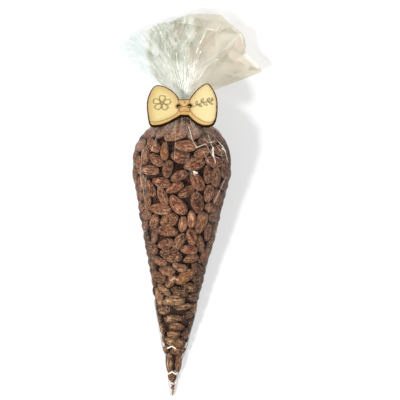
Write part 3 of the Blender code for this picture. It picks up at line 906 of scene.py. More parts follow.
def cone_milk(tree):
    """Creases, faint clouds that grow towards the neck, a painted sheen where the film turns away, and
    streaks.
    """
    place = add_node(tree, "TexCoord").outputs["Object"]
    clouds = within(tree, grain_noise(tree, stretched(tree, place, 1, 0.4, 1), 60, 4, 0.6), 0.60, 0.80)
    # Whiter where the film turns away: a painted sheen.
    turned_away = add_node(tree, "LayerWeight", {"Blend": 0.5}).outputs["Facing"]
    painted_edge_sheen = times(tree, within(tree, turned_away, 0.35, 0.75), clouds)
    clouded = plus(tree, times(tree, clouds, 0.06), times(tree, painted_edge_sheen, 0.30))
    along = add_node(tree, "SeparateXYZ", {"Vector": place}).outputs["Y"]
    clouded = times(tree, clouded, within(tree, along, -0.07, 0.04))
    milk = plus(tree, times(tree, crease_lines_and_glints(tree), 0.85), clouded)
    streaked = neck_streaks(tree, kept(tree, "gathered"))
    return calculate(tree, "ADD", milk, streaked, clamp=True)


def cone_clearness(tree):
    place = add_node(tree, "TexCoord").outputs["Object"]
    clouds = grain_noise(tree, place, 30, 2)
    tints = [(0.3, (246, 246, 244)), (0.7, (253, 252, 249))]
    return colour_steps(tree, clouds, tints)


BROWNISH_MILK = screen_colour(238, 216, 192)
BROWNISH_EDGE = screen_colour(166, 156, 146)
cone_film = clear_film("cone_film", cone_clearness, cone_milk, BROWNISH_MILK, BROWNISH_EDGE, 0.22, 0.09)
cone_film_build = bent_grid(FILM_AROUND, FILM_ALONG, cone_film_place)
add_piece("film_cone", cone_film_build, cone_film, "clear_film", "almond_cone")

# %% [markdown]
# ## The fan of spare film
# Above the tie the bag's open end spreads into a fan: two layers of film, front and back, folded
# where they leave the tie and crumpled further out. Each layer is a bent grid. Its outline and its
# droop are the solid model's. Sharp pleats and straight creases then fold it: a pleat is a zigzag
# across the fan, and a slant fold is a line from which the film rises or falls away on both sides.

# %% The form of the fan
FAN_PIVOT = 301 * MM
FAN_OUTLINE = [  # direction in degrees, counter-clockwise from X, and reach in millimetres
    (146, 81), (141, 90), (134, 89), (126, 88), (114, 85), (103, 83), (94, 87), (87, 90),
    (78, 93), (70, 96), (64, 92), (53, 91), (43, 85), (34, 83), (28, 84), (24, 84),
]  # fmt: skip
FAN_STARTS = TIE + 0.8 * MM
FAN_OPENS_BY = 0.16
FAN_LOW = 13 * MM
FAN_DROOP = 52 * MM
NECK_FLATTENING = 0.85
LAYER_APART = (3.4 * MM, 1.2 * MM)  # half the distance between the layers, at the neck and the edge
WIDE_PLEATS = 11
WIDE_PLEAT_HEIGHT = 3.0 * MM
FINE_PLEATS = 46
FINE_PLEAT_HEIGHT = 0.9 * MM
CRUMPLED_X = (-48, 14)  # millimetres: left of the middle the film is crumpled, and right of it smoother
CRUMPLES = 34
SMOOTH_X = (14, 62)
SMOOTH_FOLDS = 7
FOLD_STATIONS = (316, 384)
FOLD_REACH = 5  # millimetres to each side
FOLD_SLOPE = 0.13
# One side of each fold is painted lighter and the other darker: painted light and shade.
SHADE_OF_FOLD = 0.36
SMOOTH_SHADES = (0.3, 0.9)  # the darkest and lightest that folds make the smooth side
FAN_AROUND = 230
FAN_ALONG = 120


def zigzag(across, folds, draw):
    """A zigzag from -1 to 1 with its turning points unevenly spaced."""
    inner_turns = (np.arange(1, folds) + draw.uniform(-0.35, 0.35, folds - 1)) / folds
    turning = np.concatenate([[0], inner_turns, [1]])
    height = np.where(np.arange(folds + 1) % 2, 1.0, -1.0) * draw.uniform(0.45, 1, folds + 1)
    return np.interp(across, turning, height)


def chance_folds(draw, count, x_from_to, lengths, strengths):
    """Straight folds that run outward, more or less, as strength and route."""
    for _ in range(count):
        x, y = draw.uniform(*x_from_to), draw.uniform(*FOLD_STATIONS)
        direction = math.atan2(y - FAN_PIVOT / MM, x) + draw.uniform(-0.7, 0.7)
        half = draw.uniform(*lengths) / 2
        reach_x, reach_y = half * math.cos(direction), half * math.sin(direction)
        yield draw.uniform(*strengths), [(x - reach_x, y - reach_y), (x + reach_x, y + reach_y)]


def fold_film(x, y, folds, draw):
    """Height, painted light and shade, hue and creases that the folds give the film, at each point."""
    height = np.zeros_like(x)
    shade = np.full_like(x, 0.5)
    hue = np.full_like(x, 0.5)
    creases = []
    for strength, route in folds:
        for start, end in zip(route, route[1:]):
            side, level = straight_crease(x, y, start, end, strength)
            middle = (np.array(start) + end) / 2
            half_length = max(math.dist(start, end) / 2, 4)
            fades = np.exp(-(np.hypot(x - middle[0], y - middle[1]) / half_length) ** 4)
            turn = draw.choice([-1, 1])
            height += np.clip(FOLD_REACH - np.abs(side), 0, None) * turn * fades
            smooth = 1 - 0.45 * (middle[0] > CRUMPLED_X[1])
            shade += SHADE_OF_FOLD * smooth * turn * np.tanh(side / 0.5) * fades
            hue += draw.uniform(-0.25, 0.25) * np.tanh(side / 0.5) * fades
            creases.append((side, level))
    return height * FOLD_SLOPE * MM, shade, hue, creases


def fan_height(reach):
    neck = float(axis_height(TIE))
    return FAN_LOW + (neck - FAN_LOW) * np.exp(-reach / FAN_DROOP)


# %% [markdown]
# ## The creases and folds that show on the fan
# The brightest creases of the fan are given as routes, seen from above, as X and station in
# millimetres: long ones that leave the neck and run out between the pleats, and short ones near the
# cut edge, where the film is folded over. Their white is in part milky film and in part painted
# highlight. Between them lie facets, flat triangles whose lighter or darker tint is painted light
# and shade, as if they leaned towards the lamp or away from it.

# %% Creases on the fan
FRONT_CREASES = [  # strength, then the route
    (0.9, [(6.0, 330.0), (10.0, 353.7), (19.1, 376.2)]),
    (0.7, [(19.1, 376.2), (30.1, 374.6), (34.6, 387.8)]),
    (0.6, [(-6.9, 352.0), (3.3, 369.5)]),
    (0.45, [(17.6, 341.1), (35.0, 353.8), (52.9, 372.6)]),
    (0.3, [(32.3, 370.2), (42.9, 379.2), (51.2, 372.5)]),
    (0.3, [(51.2, 372.5), (32.3, 370.2)]),
    (0.25, [(32.6, 341.2), (38.1, 351.9), (50.5, 342.5)]),
    (0.6, [(-50.8, 372.2), (-37.0, 353.7)]),
    (0.4, [(-40.6, 367.6), (-33.1, 355.9)]),
    (0.9, [(53.2, 372.6), (59.0, 355.8)]),
    (0.3, [(30.7, 315.6), (54.2, 327.6), (74.7, 338.5)]),
    (0.25, [(34.5, 320.4), (56.0, 331.7)]),
    (0.3, [(40.0, 332.0), (48.0, 330.4), (54.0, 332.6)]),
    (0.35, [(50.4, 344.5), (62.3, 349.0)]),
    (0.8, [(-0.9, 305.2), (9.6, 340.7), (14.0, 352.9)]),
    (0.7, [(-1.9, 305.2), (-8.1, 332.0), (-10.8, 349.9)]),
    (0.8, [(3.1, 305.4), (19.7, 337.1), (31.4, 345.7)]),
    (0.7, [(1.1, 305.3), (3.9, 332.5), (0.5, 342.3)]),
    (0.3, [(-18.0, 377.6), (-11.1, 356.8)]),
    (0.3, [(-23.0, 377.4), (-15.2, 357.7)]),
    (0.4, [(-9.0, 381.5), (14.0, 379.0)]),
    (0.3, [(-30.0, 376.0), (-22.0, 352.0), (-14.0, 326.0)]),
    (0.3, [(-3.0, 372.0), (8.0, 357.0)]),
]
# A facet's lighter or darker share is painted light and shade.
FACETS = [  # how much lighter or darker, how much pinker, and the three corners
    (-1.0, -0.3, [(33.2, 373.8), (43.0, 379.2), (50.3, 372.5)]),
    (-0.8, -0.1, [(33.5, 342.8), (38.9, 353.0), (49.3, 342.4)]),
    (-0.5, 0.0, [(40.9, 356.1), (46.8, 360.3), (57.2, 350.8)]),
    (-0.7, -0.3, [(51.2, 350.5), (57.9, 357.8), (59.1, 351.9)]),
    (-0.9, -0.4, [(61.8, 336.0), (64.6, 341.1), (75.8, 336.6)]),
    (1.2, -0.1, [(50.4, 346.5), (61.1, 353.0), (63.7, 339.0)]),
    (1.0, -0.2, [(32.6, 375.4), (35.0, 385.0), (42.0, 379.8)]),
    (-0.9, 0.1, [(-5.6, 345.1), (2.4, 345.4), (-1.4, 339.3)]),
    (-0.7, 0.7, [(-19.2, 380.5), (-5.3, 385.1), (-9.7, 368.9)]),
    (-0.4, 0.7, [(-19.0, 375.5), (-7.0, 378.0), (-11.1, 356.8)]),
    (0.7, 0.6, [(-3.9, 350.2), (4.8, 357.6), (4.3, 346.6)]),
    (-0.5, -0.4, [(-33.0, 375.9), (-22.0, 377.3), (-23.5, 341.2)]),
    (-0.4, -0.3, [(-36.5, 340.8), (-26.8, 349.2), (-19.6, 321.4)]),
    (-0.3, -0.2, [(-48.5, 364.3), (-40.5, 364.6), (-44.2, 356.4)]),
    (0.7, 0.0, [(-10.3, 338.0), (-3.5, 342.1), (-3.2, 312.1)]),
]
FACET_SHARE = 0.85  # of a facet's shade, over that of the folds that cross it
CLEAR_CORNER = (0.366, -0.138)  # the clear left corner ends at this much of the turn, by the reach


def inside_corner(x, y, corner):
    """1 inside a triangle, 0 outside it, with a soft edge half a millimetre to each side."""
    middle_x, middle_y = np.mean(corner, axis=0)
    depth = np.full(np.shape(x), np.inf)
    for (x0, y0), (x1, y1) in zip(corner, corner[1:] + corner[:1]):
        side = ((x - x0) * (y1 - y0) - (y - y0) * (x1 - x0)) / math.hypot(x1 - x0, y1 - y0)
        towards = ((middle_x - x0) * (y1 - y0) - (middle_y - y0) * (x1 - x0)) > 0
        depth = np.minimum(depth, side if towards else -side)
    return np.clip(0.5 + depth, 0, 1)


def fan_layer_place(side, reach_change, seed):
    """Returns the place function of one layer. Side is 1 for the front and -1 for the back."""
    directions, reaches = np.array(FAN_OUTLINE[::-1], float).T

    def place(u, v):
        draw = np.random.default_rng(seed)
        degrees = directions[0] + (directions[-1] - directions[0]) * (1 - u)
        outline = np.interp(degrees, directions, reaches) * MM
        reach = (outline + reach_change(degrees)) * v
        single = (reach > outline + front_reach_change(degrees)) * (side < 0)
        opened = np.minimum(v / FAN_OPENS_BY, 1)
        angle = np.radians(degrees)
        neck_angle = math.pi * (1 - u)
        x = NECK_HALF_WIDTH * np.cos(neck_angle) * (1 - opened) + reach * np.cos(angle) * opened
        station = FAN_STARTS * (1 - opened) + (FAN_PIVOT + reach * np.sin(angle)) * opened
        y = station - ORIGIN_STATION
        plan = (x / MM, station / MM)
        widening = np.sin(math.pi * np.minimum(v, 0.8) / 1.6)
        pleats = zigzag(u, WIDE_PLEATS, draw) * WIDE_PLEAT_HEIGHT * widening
        pleats += zigzag(u, FINE_PLEATS, draw) * FINE_PLEAT_HEIGHT * np.exp(-(((v - 0.25) / 0.3) ** 2))
        folds = list(chance_folds(draw, CRUMPLES, CRUMPLED_X, (8, 34), (0.0, 0.35)))
        folds += chance_folds(draw, SMOOTH_FOLDS, SMOOTH_X, (18, 46), (0.0, 0.14))
        if side > 0:
            folds += FRONT_CREASES
        slant, shade, hue, creases = fold_film(*plan, folds, draw)
        shade = np.where(x / MM > CRUMPLED_X[1], np.clip(shade, *SMOOTH_SHADES), shade)
        for lighter, pinker, corners in FACETS if side > 0 else []:
            facet = inside_corner(*plan, corners)
            shade += facet * (0.5 + 0.5 * lighter - shade) * FACET_SHARE
            hue += facet * (0.5 + pinker - hue) * FACET_SHARE
        off, crease = nearest_crease(creases, x.shape)
        ridge = crease * np.exp(-((off / RIDGE_WIDTH) ** 2)) * RIDGE_HEIGHT
        sides = np.sqrt(np.abs(np.sin(math.pi * u)))
        fold = (pleats + slant * np.clip(v * 4 - 1, 0, 1)) * opened * np.clip(sides * 1.6, 0, 1)
        apart = (LAYER_APART[0] + (LAYER_APART[1] - LAYER_APART[0]) * v) * sides * opened
        neck_rise = NECK_HALF_WIDTH * NECK_FLATTENING * np.sin(neck_angle) * (1 - opened)
        z = fan_height(reach) + side * (neck_rise + apart) + fold + ridge
        values = {"side": off, "crease": crease, "turn": u, "reach": v}
        values |= {"shade": shade, "hue": hue, "single": single.astype(float)}
        return np.stack([x, y, z], axis=-1), values

    return place


def bump_at(degrees, middle, half_width):
    return np.exp(-(((degrees - middle) / half_width) ** 2))


def front_reach_change(degrees):
    """The front layer is cut lower at the top of the fan, and in a zigzag towards its right end."""
    saw = np.abs(((degrees * 0.5) % 1) - 0.5) * 2.4 * ((degrees > 28) & (degrees < 43))
    return -(7 * bump_at(degrees, 76, 13) + 4 * bump_at(degrees, 41, 6) + saw) * MM


def back_reach_change(degrees):
    return -(5 * bump_at(degrees, 126, 12) + 4.5 * bump_at(degrees, 40, 7)) * MM


# %% [markdown]
# ## The film of the fan
# The fan is less clear than the bag. Its many folds scatter light, so it looks milky at the neck,
# and its facets look a little grey green, beige or pink, because film splits white light. The right
# half is smooth and beige, the middle streaked and grey green, and the left end nearly colourless.
# The film keeps on which side of its folds each point lies, and a ramp turns that into a tint,
# lighter on one side and darker on the other, which is painted light and shade.

# %% The fan's finish
def fan_place(tree, across, outward_share):
    """The place on the fan, across it and out from the neck, stretched for a texture."""
    turn = times(tree, kept(tree, "turn"), across)
    reach = times(tree, kept(tree, "reach"), outward_share)
    return add_node(tree, "CombineXYZ", {"X": turn, "Y": reach}).outputs[0]


def curly_noise(tree, across, outward_share):
    place = fan_place(tree, across, outward_share)
    inputs = {"Vector": place, "Scale": 1.0, "Detail": 3.0, "Distortion": 1.6}
    return add_node(tree, "TexNoise", inputs).outputs["Fac"]


def curly_white(tree):
    """The white curls of film that is squeezed together above the neck."""
    off_middle = calculate(tree, "SUBTRACT", kept(tree, "turn"), 0.46)
    off_middle = calculate(tree, "ABSOLUTE", off_middle)
    near_neck = within(tree, kept(tree, "reach"), 0.56, 0.24)
    squeezed = times(tree, within(tree, off_middle, 0.26, 0.14), near_neck)
    curls = within(tree, curly_noise(tree, 30, 10), 0.36, 0.62)
    return times(tree, squeezed, spread(tree, curls, 0.44, 0.78))


def white_edge(tree):
    """The cut edge is white where it runs in a zigzag, towards the right end."""
    turn = kept(tree, "turn")
    right = times(tree, within(tree, turn, 0.84, 0.87), within(tree, turn, 0.98, 0.96))
    at_edge = within(tree, kept(tree, "reach"), 0.94, 0.98)
    return times(tree, right, times(tree, at_edge, 0.34))


def fan_milk(tree):
    near_neck = within(tree, kept(tree, "reach"), 0.50, 0.08)
    crumpled = within(tree, kept(tree, "turn"), 0.62, 0.42)
    marks = within(tree, curly_noise(tree, 40, 12), 0.56, 0.70)
    marks = times(tree, marks, times(tree, crumpled, 0.30))
    broken = within(tree, grain_noise(tree, fan_place(tree, 26, 12), 1.0, 3, 0.6), 0.36, 0.58)
    milk = plus(tree, marks, times(tree, near_neck, 0.12))
    milk = calculate(tree, "MAXIMUM", milk, curly_white(tree))
    milk = calculate(tree, "MAXIMUM", milk, white_edge(tree))
    lines = times(tree, crease_lines_and_glints(tree), broken)
    return calculate(tree, "ADD", milk, lines, clamp=True)


FAN_GREENS = [(0.0, (216, 218, 207)), (0.5, (236, 238, 231)), (1.0, (252, 253, 248))]
FAN_BEIGES = [(0.0, (214, 211, 195)), (0.5, (247, 243, 233)), (1.0, (254, 252, 245))]
CLEAR_TINTS = [(0.1, (243, 248, 247)), (0.9, (255, 255, 255))]
PINKER = (1.0, 0.92, 0.90, 1)


def fan_clearness(tree):
    """The tint that light takes through the fan, from its folds' painted light and shade and hue."""
    turn = kept(tree, "turn")
    green = within(tree, turn, 0.60, 0.42)
    # Fine light and dark crumple marks in the grey green middle: painted light and shade.
    mottled = calculate(tree, "SUBTRACT", curly_noise(tree, 34, 9), 0.5)
    mottled = times(tree, mottled, green)
    shade = plus(tree, kept(tree, "shade"), times(tree, mottled, 1.6))
    beige = colour_steps(tree, shade, FAN_BEIGES)
    tint = blend_colours(tree, green, beige, colour_steps(tree, shade, FAN_GREENS))
    pinker = blend_colours(tree, 1.0, tint, PINKER, "MULTIPLY")
    tint = blend_colours(tree, within(tree, kept(tree, "hue"), 0.6, 1.1), tint, pinker)
    single = times(tree, kept(tree, "single"), within(tree, turn, 0.36, 0.44))
    tint = blend_colours(tree, times(tree, single, 0.8), tint, screen_colour(236, 230, 216))
    corner_end = plus(tree, times(tree, kept(tree, "reach"), CLEAR_CORNER[0]), CLEAR_CORNER[1])
    colourless = within(tree, calculate(tree, "SUBTRACT", turn, corner_end), 0.015, -0.015)
    return blend_colours(tree, colourless, tint, colour_steps(tree, shade, CLEAR_TINTS))


FAN_MILK = screen_colour(238, 239, 232)
FAN_EDGE = screen_colour(226, 224, 214)
fan_film = clear_film("fan_film", fan_clearness, fan_milk, FAN_MILK, FAN_EDGE, 0.7, 0.22)
front_layer = bent_grid(FAN_AROUND, FAN_ALONG, fan_layer_place(1, front_reach_change, 21))
back_layer = bent_grid(FAN_AROUND, FAN_ALONG, fan_layer_place(-1, back_reach_change, 22))
add_piece("fan_front", front_layer, fan_film, "clear_film", "film_top")
add_piece("fan_back", back_layer, fan_film, "clear_film", "film_top")

# %% [markdown]
# ## The wooden bow
# The bow is cut from three millimetre plywood with a laser, which burns the cut edge nearly black.
# The same laser, turned down, draws fine brown lines on the face: a contour along the lower edges,
# the folds of a knot, a blossom and a sprig. The outline is a list of places joined by a smooth
# curve. One face is made through them and extruded, and its rims are bevelled.

# %% The bow's plate
PLY = 3.0 * MM
BOW_STATION = 294.3 * MM
BOW_BACK_HEIGHT = 52.1 * MM
BOW_TILT = math.radians(30)
BOW_TURN = math.radians(5)
BOW_LEFT_WING = [  # millimetres from the middle of the bow, from the waist's top round to its bottom
    (-4.6, 8.2), (-8.0, 14.8), (-12.6, 20.1), (-17.9, 23.9), (-22.7, 26.0), (-27.0, 26.1),
    (-30.6, 23.3), (-34.2, 16.3), (-36.4, 8.3), (-36.9, 0.0), (-36.2, -9.6), (-35.1, -17.6),
    (-32.7, -21.5), (-27.6, -22.2), (-21.7, -21.3), (-13.4, -17.3), (-3.6, -11.5),
]  # fmt: skip
BOW_RIGHT_WING = [
    (5.2, 7.8), (8.9, 13.2), (12.9, 18.5), (17.4, 22.7), (21.5, 25.2), (24.7, 25.5),
    (27.3, 22.6), (31.0, 14.4), (32.7, 7.3), (33.0, -0.3), (32.3, -8.8), (30.6, -17.6),
    (27.5, -22.9), (22.2, -24.9), (17.0, -24.2), (10.8, -20.6), (3.2, -11.8),
]  # fmt: skip
HOLE_SPACING = 11 * MM
HOLE_RADIUS = 2.0 * MM
HOLE_BACK_RADIUS = 0.8 * MM  # the holes narrow towards the back, where the thread fills them
RIM_BEVEL = 0.25 * MM
RIM_INSET = 0.55 * MM
LATTICE = 1.5 * MM


def smooth_route(points, closed=False, steps=4):
    """A smooth curve through the points, as an array with a few places between each two."""
    points = np.array(points, float)
    before = points[-1:] if closed else 2 * points[:1] - points[1:2]
    after = points[:2] if closed else 2 * points[-1:] - points[-2:-1]
    padded = np.concatenate([before, points, after])
    route = []
    for start in range(len(padded) - 3):
        a, b, c, d = padded[start : start + 4]
        for t in np.arange(steps) / steps:
            bend = (2 * a - 5 * b + 4 * c - d) * t**2 + (3 * b - a - 3 * c + d) * t**3
            route.append(b + 0.5 * ((c - a) * t + bend))
    return np.array(route if closed else [*route, points[-1]])


def bow_outline():
    left = smooth_route(BOW_LEFT_WING)
    right = smooth_route(BOW_RIGHT_WING)
    return np.concatenate([left, right[::-1]])


def bow_plate(outline):
    """The plate, lying flat and centred on its thickness, with a lattice of edges on its face."""
    build = bmesh.new()
    corners = [build.verts.new((x * MM, y * MM, -PLY / 2)) for x, y in outline]
    back = build.faces.new(corners)
    raised = bmesh.ops.extrude_face_region(build, geom=[back])["geom"]
    up = [corner for corner in raised if isinstance(corner, bmesh.types.BMVert)]
    bmesh.ops.translate(build, verts=up, vec=(0, 0, PLY))
    bmesh.ops.recalc_face_normals(build, faces=build.faces)
    rims = [edge for f in build.faces if abs(f.normal.z) > 0.9 for edge in f.edges]
    bevel = dict(affect="EDGES", segments=1, profile=0.5, material=-1)
    bmesh.ops.bevel(build, geom=rims, offset=RIM_BEVEL, **bevel)
    face = [f for f in build.faces if f.normal.z > 0.99]
    bmesh.ops.inset_region(build, faces=face, thickness=RIM_INSET, use_even_offset=True)
    bmesh.ops.triangulate(build, faces=[f for f in build.faces if abs(f.normal.z) > 0.99])
    for direction, reach in (((1, 0, 0), outline[:, 0]), ((0, 1, 0), outline[:, 1])):
        for place in np.arange(reach.min() * MM + LATTICE, reach.max() * MM, LATTICE):
            face = [f for f in build.faces if f.normal.z > 0.99]
            around = {edge for f in face for edge in f.edges} | {corner for f in face for corner in f.verts}
            cut = dict(plane_co=Vector(direction) * place, plane_no=direction, dist=0.001 * MM)
            bmesh.ops.bisect_plane(build, geom=face + list(around), **cut)
    return build


outline = bow_outline()
plate = bow_plate(outline)
print(f"the bow is {np.ptp(outline[:, 0]):.0f} by {np.ptp(outline[:, 1]):.0f} mm")

# %% [markdown]
# ## The engraving
# Each engraved line is a shallow groove. A thin four-sided rod follows the line with its axis in the
# face of the plate, and a Boolean takes it away, together with two cones for the holes, which narrow
# towards the back until they close round the thread. The blossom's five petals are one drop-shaped
# loop turned five times, and the sprig's leaves are another loop placed along a bent stem.

# %% Engrave the bow
CONTOURS = [
    [(-35.0, -16.4), (-28.5, -17.4), (-22.0, -16.0), (-13.5, -12.6), (-7.4, -8.2), (-5.6, -3.4)],
    [(30.2, -18.0), (25.4, -20.2), (20.6, -19.9), (15.6, -17.3), (10.4, -12.8), (6.6, -7.6), (5.7, -3.4)],
]
KNOT_LINES = [
    [(-5.9, 7.6), (-5.0, 5.0), (-5.4, 2.6)],
    [(6.2, 6.9), (5.2, 4.8), (5.4, 2.6)],
    [(-4.8, -7.4), (-2.4, -6.2), (0.0, -5.8), (2.4, -6.2), (4.8, -7.4)],
    [(0.7, 5.6), (0.9, 2.6)],
    [(-4.7, -2.8), (-4.9, -6.2)],
    [(5.0, -3.0), (5.3, -6.6)],
]
LINE_WIDTH = 0.55 * MM
FINE_LINE_WIDTH = 0.38 * MM
BLOSSOM_MIDDLE = (-22.0, 4.6)
BLOSSOM_TURN = 12  # degrees
PETALS = 5
PETAL = [(1.6, 0.0), (4.0, 2.3), (7.2, 2.9), (8.9, 1.2), (8.5, 0.0), (8.9, -1.2), (7.2, -2.9), (4.0, -2.3)]
HEART_RADIUS = 1.3
STEM = [(9.6, -1.4), (14.5, 1.6), (20.0, 3.4), (25.6, 4.0), (30.0, 5.8)]
LEAF = [(0.0, 0.0), (1.8, 1.05), (3.6, 0.95), (5.2, 0.0), (3.6, -0.95), (1.8, -1.05)]
LEAF_PLACES = [  # share of the stem, direction from X in degrees and size
    (0.16, 82, 0.80), (0.24, -28, 0.85), (0.40, 72, 0.95), (0.48, -38, 0.95),
    (0.64, 64, 0.90), (0.72, -44, 0.80), (0.86, 66, 0.66),
]  # fmt: skip


def turned(points, degrees, size=1.0, place=(0.0, 0.0)):
    angle = math.radians(degrees)
    turn = np.array([[math.cos(angle), math.sin(angle)], [-math.sin(angle), math.cos(angle)]])
    return np.array(points, float) @ turn * size + np.array(place)


def engraved_lines():
    """Every engraved line: its route in millimetres, whether it is a loop, and its width."""
    lines = [(smooth_route(points), False, LINE_WIDTH) for points in CONTOURS + KNOT_LINES]
    petal = smooth_route(PETAL, closed=True)
    for k in range(PETALS):
        degrees = BLOSSOM_TURN + 360 * k / PETALS
        lines.append((turned(petal, degrees, place=BLOSSOM_MIDDLE), True, FINE_LINE_WIDTH))
    ring = [turned([(HEART_RADIUS, 0)], 45 * k, place=BLOSSOM_MIDDLE)[0] for k in range(8)]
    lines.append((smooth_route(ring, closed=True), True, FINE_LINE_WIDTH))
    stem = smooth_route(STEM)
    lines.append((stem, False, FINE_LINE_WIDTH))
    for share, degrees, size in LEAF_PLACES:
        base = stem[int(share * (len(stem) - 1))]
        leaf = turned(smooth_route(LEAF, closed=True), degrees, size, base + turned([(0.5, 0)], degrees)[0])
        lines.append((leaf, True, FINE_LINE_WIDTH))
    return lines


def groove_rod(route, closed, width):
    """The rod that cuts one line: a curve with a four-sided bevel, made a mesh."""
    curve = bpy.data.curves.new("rod", "CURVE")
    curve.dimensions = "3D"
    curve.twist_mode = "Z_UP"
    curve.bevel_depth = width / 2
    curve.bevel_resolution = 0
    curve.use_fill_caps = True
    line = curve.splines.new("POLY")
    line.points.add(len(route) - 1)
    for point, (x, y) in zip(line.points, route):
        point.co = (x * MM, y * MM, PLY / 2, 1)
    line.use_cyclic_u = closed
    rod = bpy.data.objects.new("rod", curve)
    build = bmesh.new()
    build.from_mesh(rod.to_mesh())
    bmesh.ops.remove_doubles(build, verts=build.verts, dist=0.001 * MM)
    bmesh.ops.recalc_face_normals(build, faces=build.faces)
    bpy.data.objects.remove(rod)
    return build


def hole_rod(side):
    """The rod that cuts one hole: a cone whose narrow end lies round the thread at the plate's back."""
    build = bmesh.new()
    lean = math.tan(BOW_TILT) / 2
    taper = (HOLE_RADIUS - HOLE_BACK_RADIUS) / 2
    low, high = HOLE_BACK_RADIUS - taper, HOLE_RADIUS + taper
    bmesh.ops.create_cone(build, cap_ends=True, segments=20, radius1=low, radius2=high, depth=2 * PLY)
    for corner in build.verts:
        corner.co.x += side * HOLE_SPACING / 2
        corner.co.y -= lean * (corner.co.z - PLY / 2)
    return build


def cut_away(plate, rods):
    """The plate with every rod taken from it, by one Boolean on a collection."""
    scratch = bpy.data.collections.new("rods")
    bpy.context.scene.collection.children.link(scratch)
    holders = []
    for build in [plate, *rods]:
        mesh = bpy.data.meshes.new("cut")
        build.to_mesh(mesh)
        build.free()
        holders.append(bpy.data.objects.new("cut", mesh))
    for rod in holders[1:]:
        scratch.objects.link(rod)
    bpy.context.scene.collection.objects.link(holders[0])
    cut = holders[0].modifiers.new("cut", "BOOLEAN")
    cut.operation = "DIFFERENCE"
    cut.operand_type = "COLLECTION"
    cut.collection = scratch
    cut.solver = "EXACT"
    bpy.context.view_layer.update()
    result = bmesh.new()
    result.from_mesh(holders[0].evaluated_get(bpy.context.evaluated_depsgraph_get()).to_mesh())
    for holder in holders:
        bpy.data.objects.remove(holder)
    bpy.data.collections.remove(scratch)
    return result


lines = engraved_lines()
rods = [groove_rod(*line) for line in lines] + [hole_rod(side) for side in (-1, 1)]
bow_build = cut_away(plate, rods)
print(f"cut {len(lines)} lines and two holes; the bow has {len(bow_build.faces)} faces")

# %% [markdown]
# ## Where the wood is scorched
# The laser's heat browns the wood beside each cut and line, and most of all round the knot. So each
# point of the bow keeps four values: its distance from the cut edge, how near it is to an engraved
# line or a hole, how near it is to the knot, and whether it lies below the contour, where the wood
# is golden. It also keeps its place on the flat plate, along which the grain runs. Then the bow is
# tilted to lie on the shoulder of the bag.

# %% Scorch and place the bow
SCORCH_REACH = 0.32  # millimetres from a line or hole
KNOT_REACH = 9.0
HOLE_SMOKE = 0.85
HOLE_SMOKE_REACH = 1.5
# The black rim is drawn wider along the lower edges: burnt wood and, in part, painted shade.
LOW_EDGE_BURN_AND_SHADE = 0.5  # how much wider the burnt rim is along the lower edges
BLACK_WALL = -60.0  # kept as the distance from the edge deep in a hole, so that its wall is black


def distance_to_outline(x, y, outline):
    loop = [tuple(point) for point in outline] + [tuple(outline[0])]
    return distance_to_route(x, y, loop)


def add_scorch(build, lines, outline):
    places = np.array([corner.co for corner in build.verts]) / MM
    x, y, z = places.T
    edge = distance_to_outline(x, y, outline)
    # Wider along the lower edges, in part as painted shade.
    edge = np.minimum(edge, distance_to_outline(x, y - LOW_EDGE_BURN_AND_SHADE, outline))
    line = np.full(len(x), np.inf)
    for route, closed, _ in lines:
        loop = [tuple(point) for point in route]
        line = np.minimum(line, distance_to_route(x, y, loop + loop[:1] if closed else loop))
    hole = np.hypot(np.abs(x) - HOLE_SPACING / MM / 2, y) - HOLE_RADIUS / MM
    scorch = np.exp(-((np.minimum(line, hole * 0.6) / SCORCH_REACH) ** 2)) * (z > PLY / MM / 2 - 0.5)
    scorch = np.maximum(scorch, HOLE_SMOKE * np.exp(-((hole / HOLE_SMOKE_REACH) ** 2)))
    inside = (hole < 0.1) & (z < PLY / MM / 2 - 0.1)
    edge = np.where(inside, BLACK_WALL, edge)
    scorch = np.where(inside, 0.0, scorch)
    knot = np.exp(-((x / KNOT_REACH) ** 2))
    contour = np.concatenate([smooth_route(CONTOURS[0]), smooth_route(CONTOURS[1])[::-1]])
    under = np.clip((np.interp(x, *contour.T) - y) / 0.6, 0, 1)
    values = {"edge": edge, "scorch": scorch, "knot": knot, "under": under}
    layers = {name: build.verts.layers.float.new(name) for name in values}
    plank = build.verts.layers.float_vector.new("plank")
    for i, corner in enumerate(build.verts):
        corner[plank] = places[i]
        for name, layer in layers.items():
            corner[layer] = float(values[name][i])


add_scorch(bow_build, lines, outline)
bow_height = BOW_BACK_HEIGHT + PLY / 2 / math.cos(BOW_TILT)
bow_place = Matrix.Translation((0, BOW_STATION - ORIGIN_STATION, bow_height))
bow_place = bow_place @ Euler((-BOW_TILT, 0, BOW_TURN)).to_matrix().to_4x4()
bmesh.ops.transform(bow_build, matrix=bow_place, verts=bow_build.verts)

# %% [markdown]
# ## Laser-cut plywood
# The face is pale birch, more golden towards the cut edges and below the contour, and brown round
# the knot. Towards the right wing it is paler, which is painted light. A ramp over the distance from
# the edge gives the burnt rim and the way from golden to pale. The grain is a noise stretched along
# the plate, and a broader one makes the browning uneven. The burnt rim and the walls of the holes
# are as rough as soot.

# %% The bow's finish
TOASTED = [  # from the cut edge inwards
    (0.00, (14, 8, 5)), (0.12, (20, 11, 6)), (0.15, (138, 98, 52)), (0.20, (178, 152, 98)),
    (0.50, (188, 166, 110)), (1.00, (202, 184, 130)),
]  # fmt: skip
PALE_WOOD = screen_colour(218, 204, 156)
GOLDEN_WOOD = screen_colour(188, 146, 78)
KNOT_BROWN = screen_colour(176, 122, 58)
GRAIN_BROWN = screen_colour(170, 122, 68)
LINE_BROWN = screen_colour(66, 38, 16)


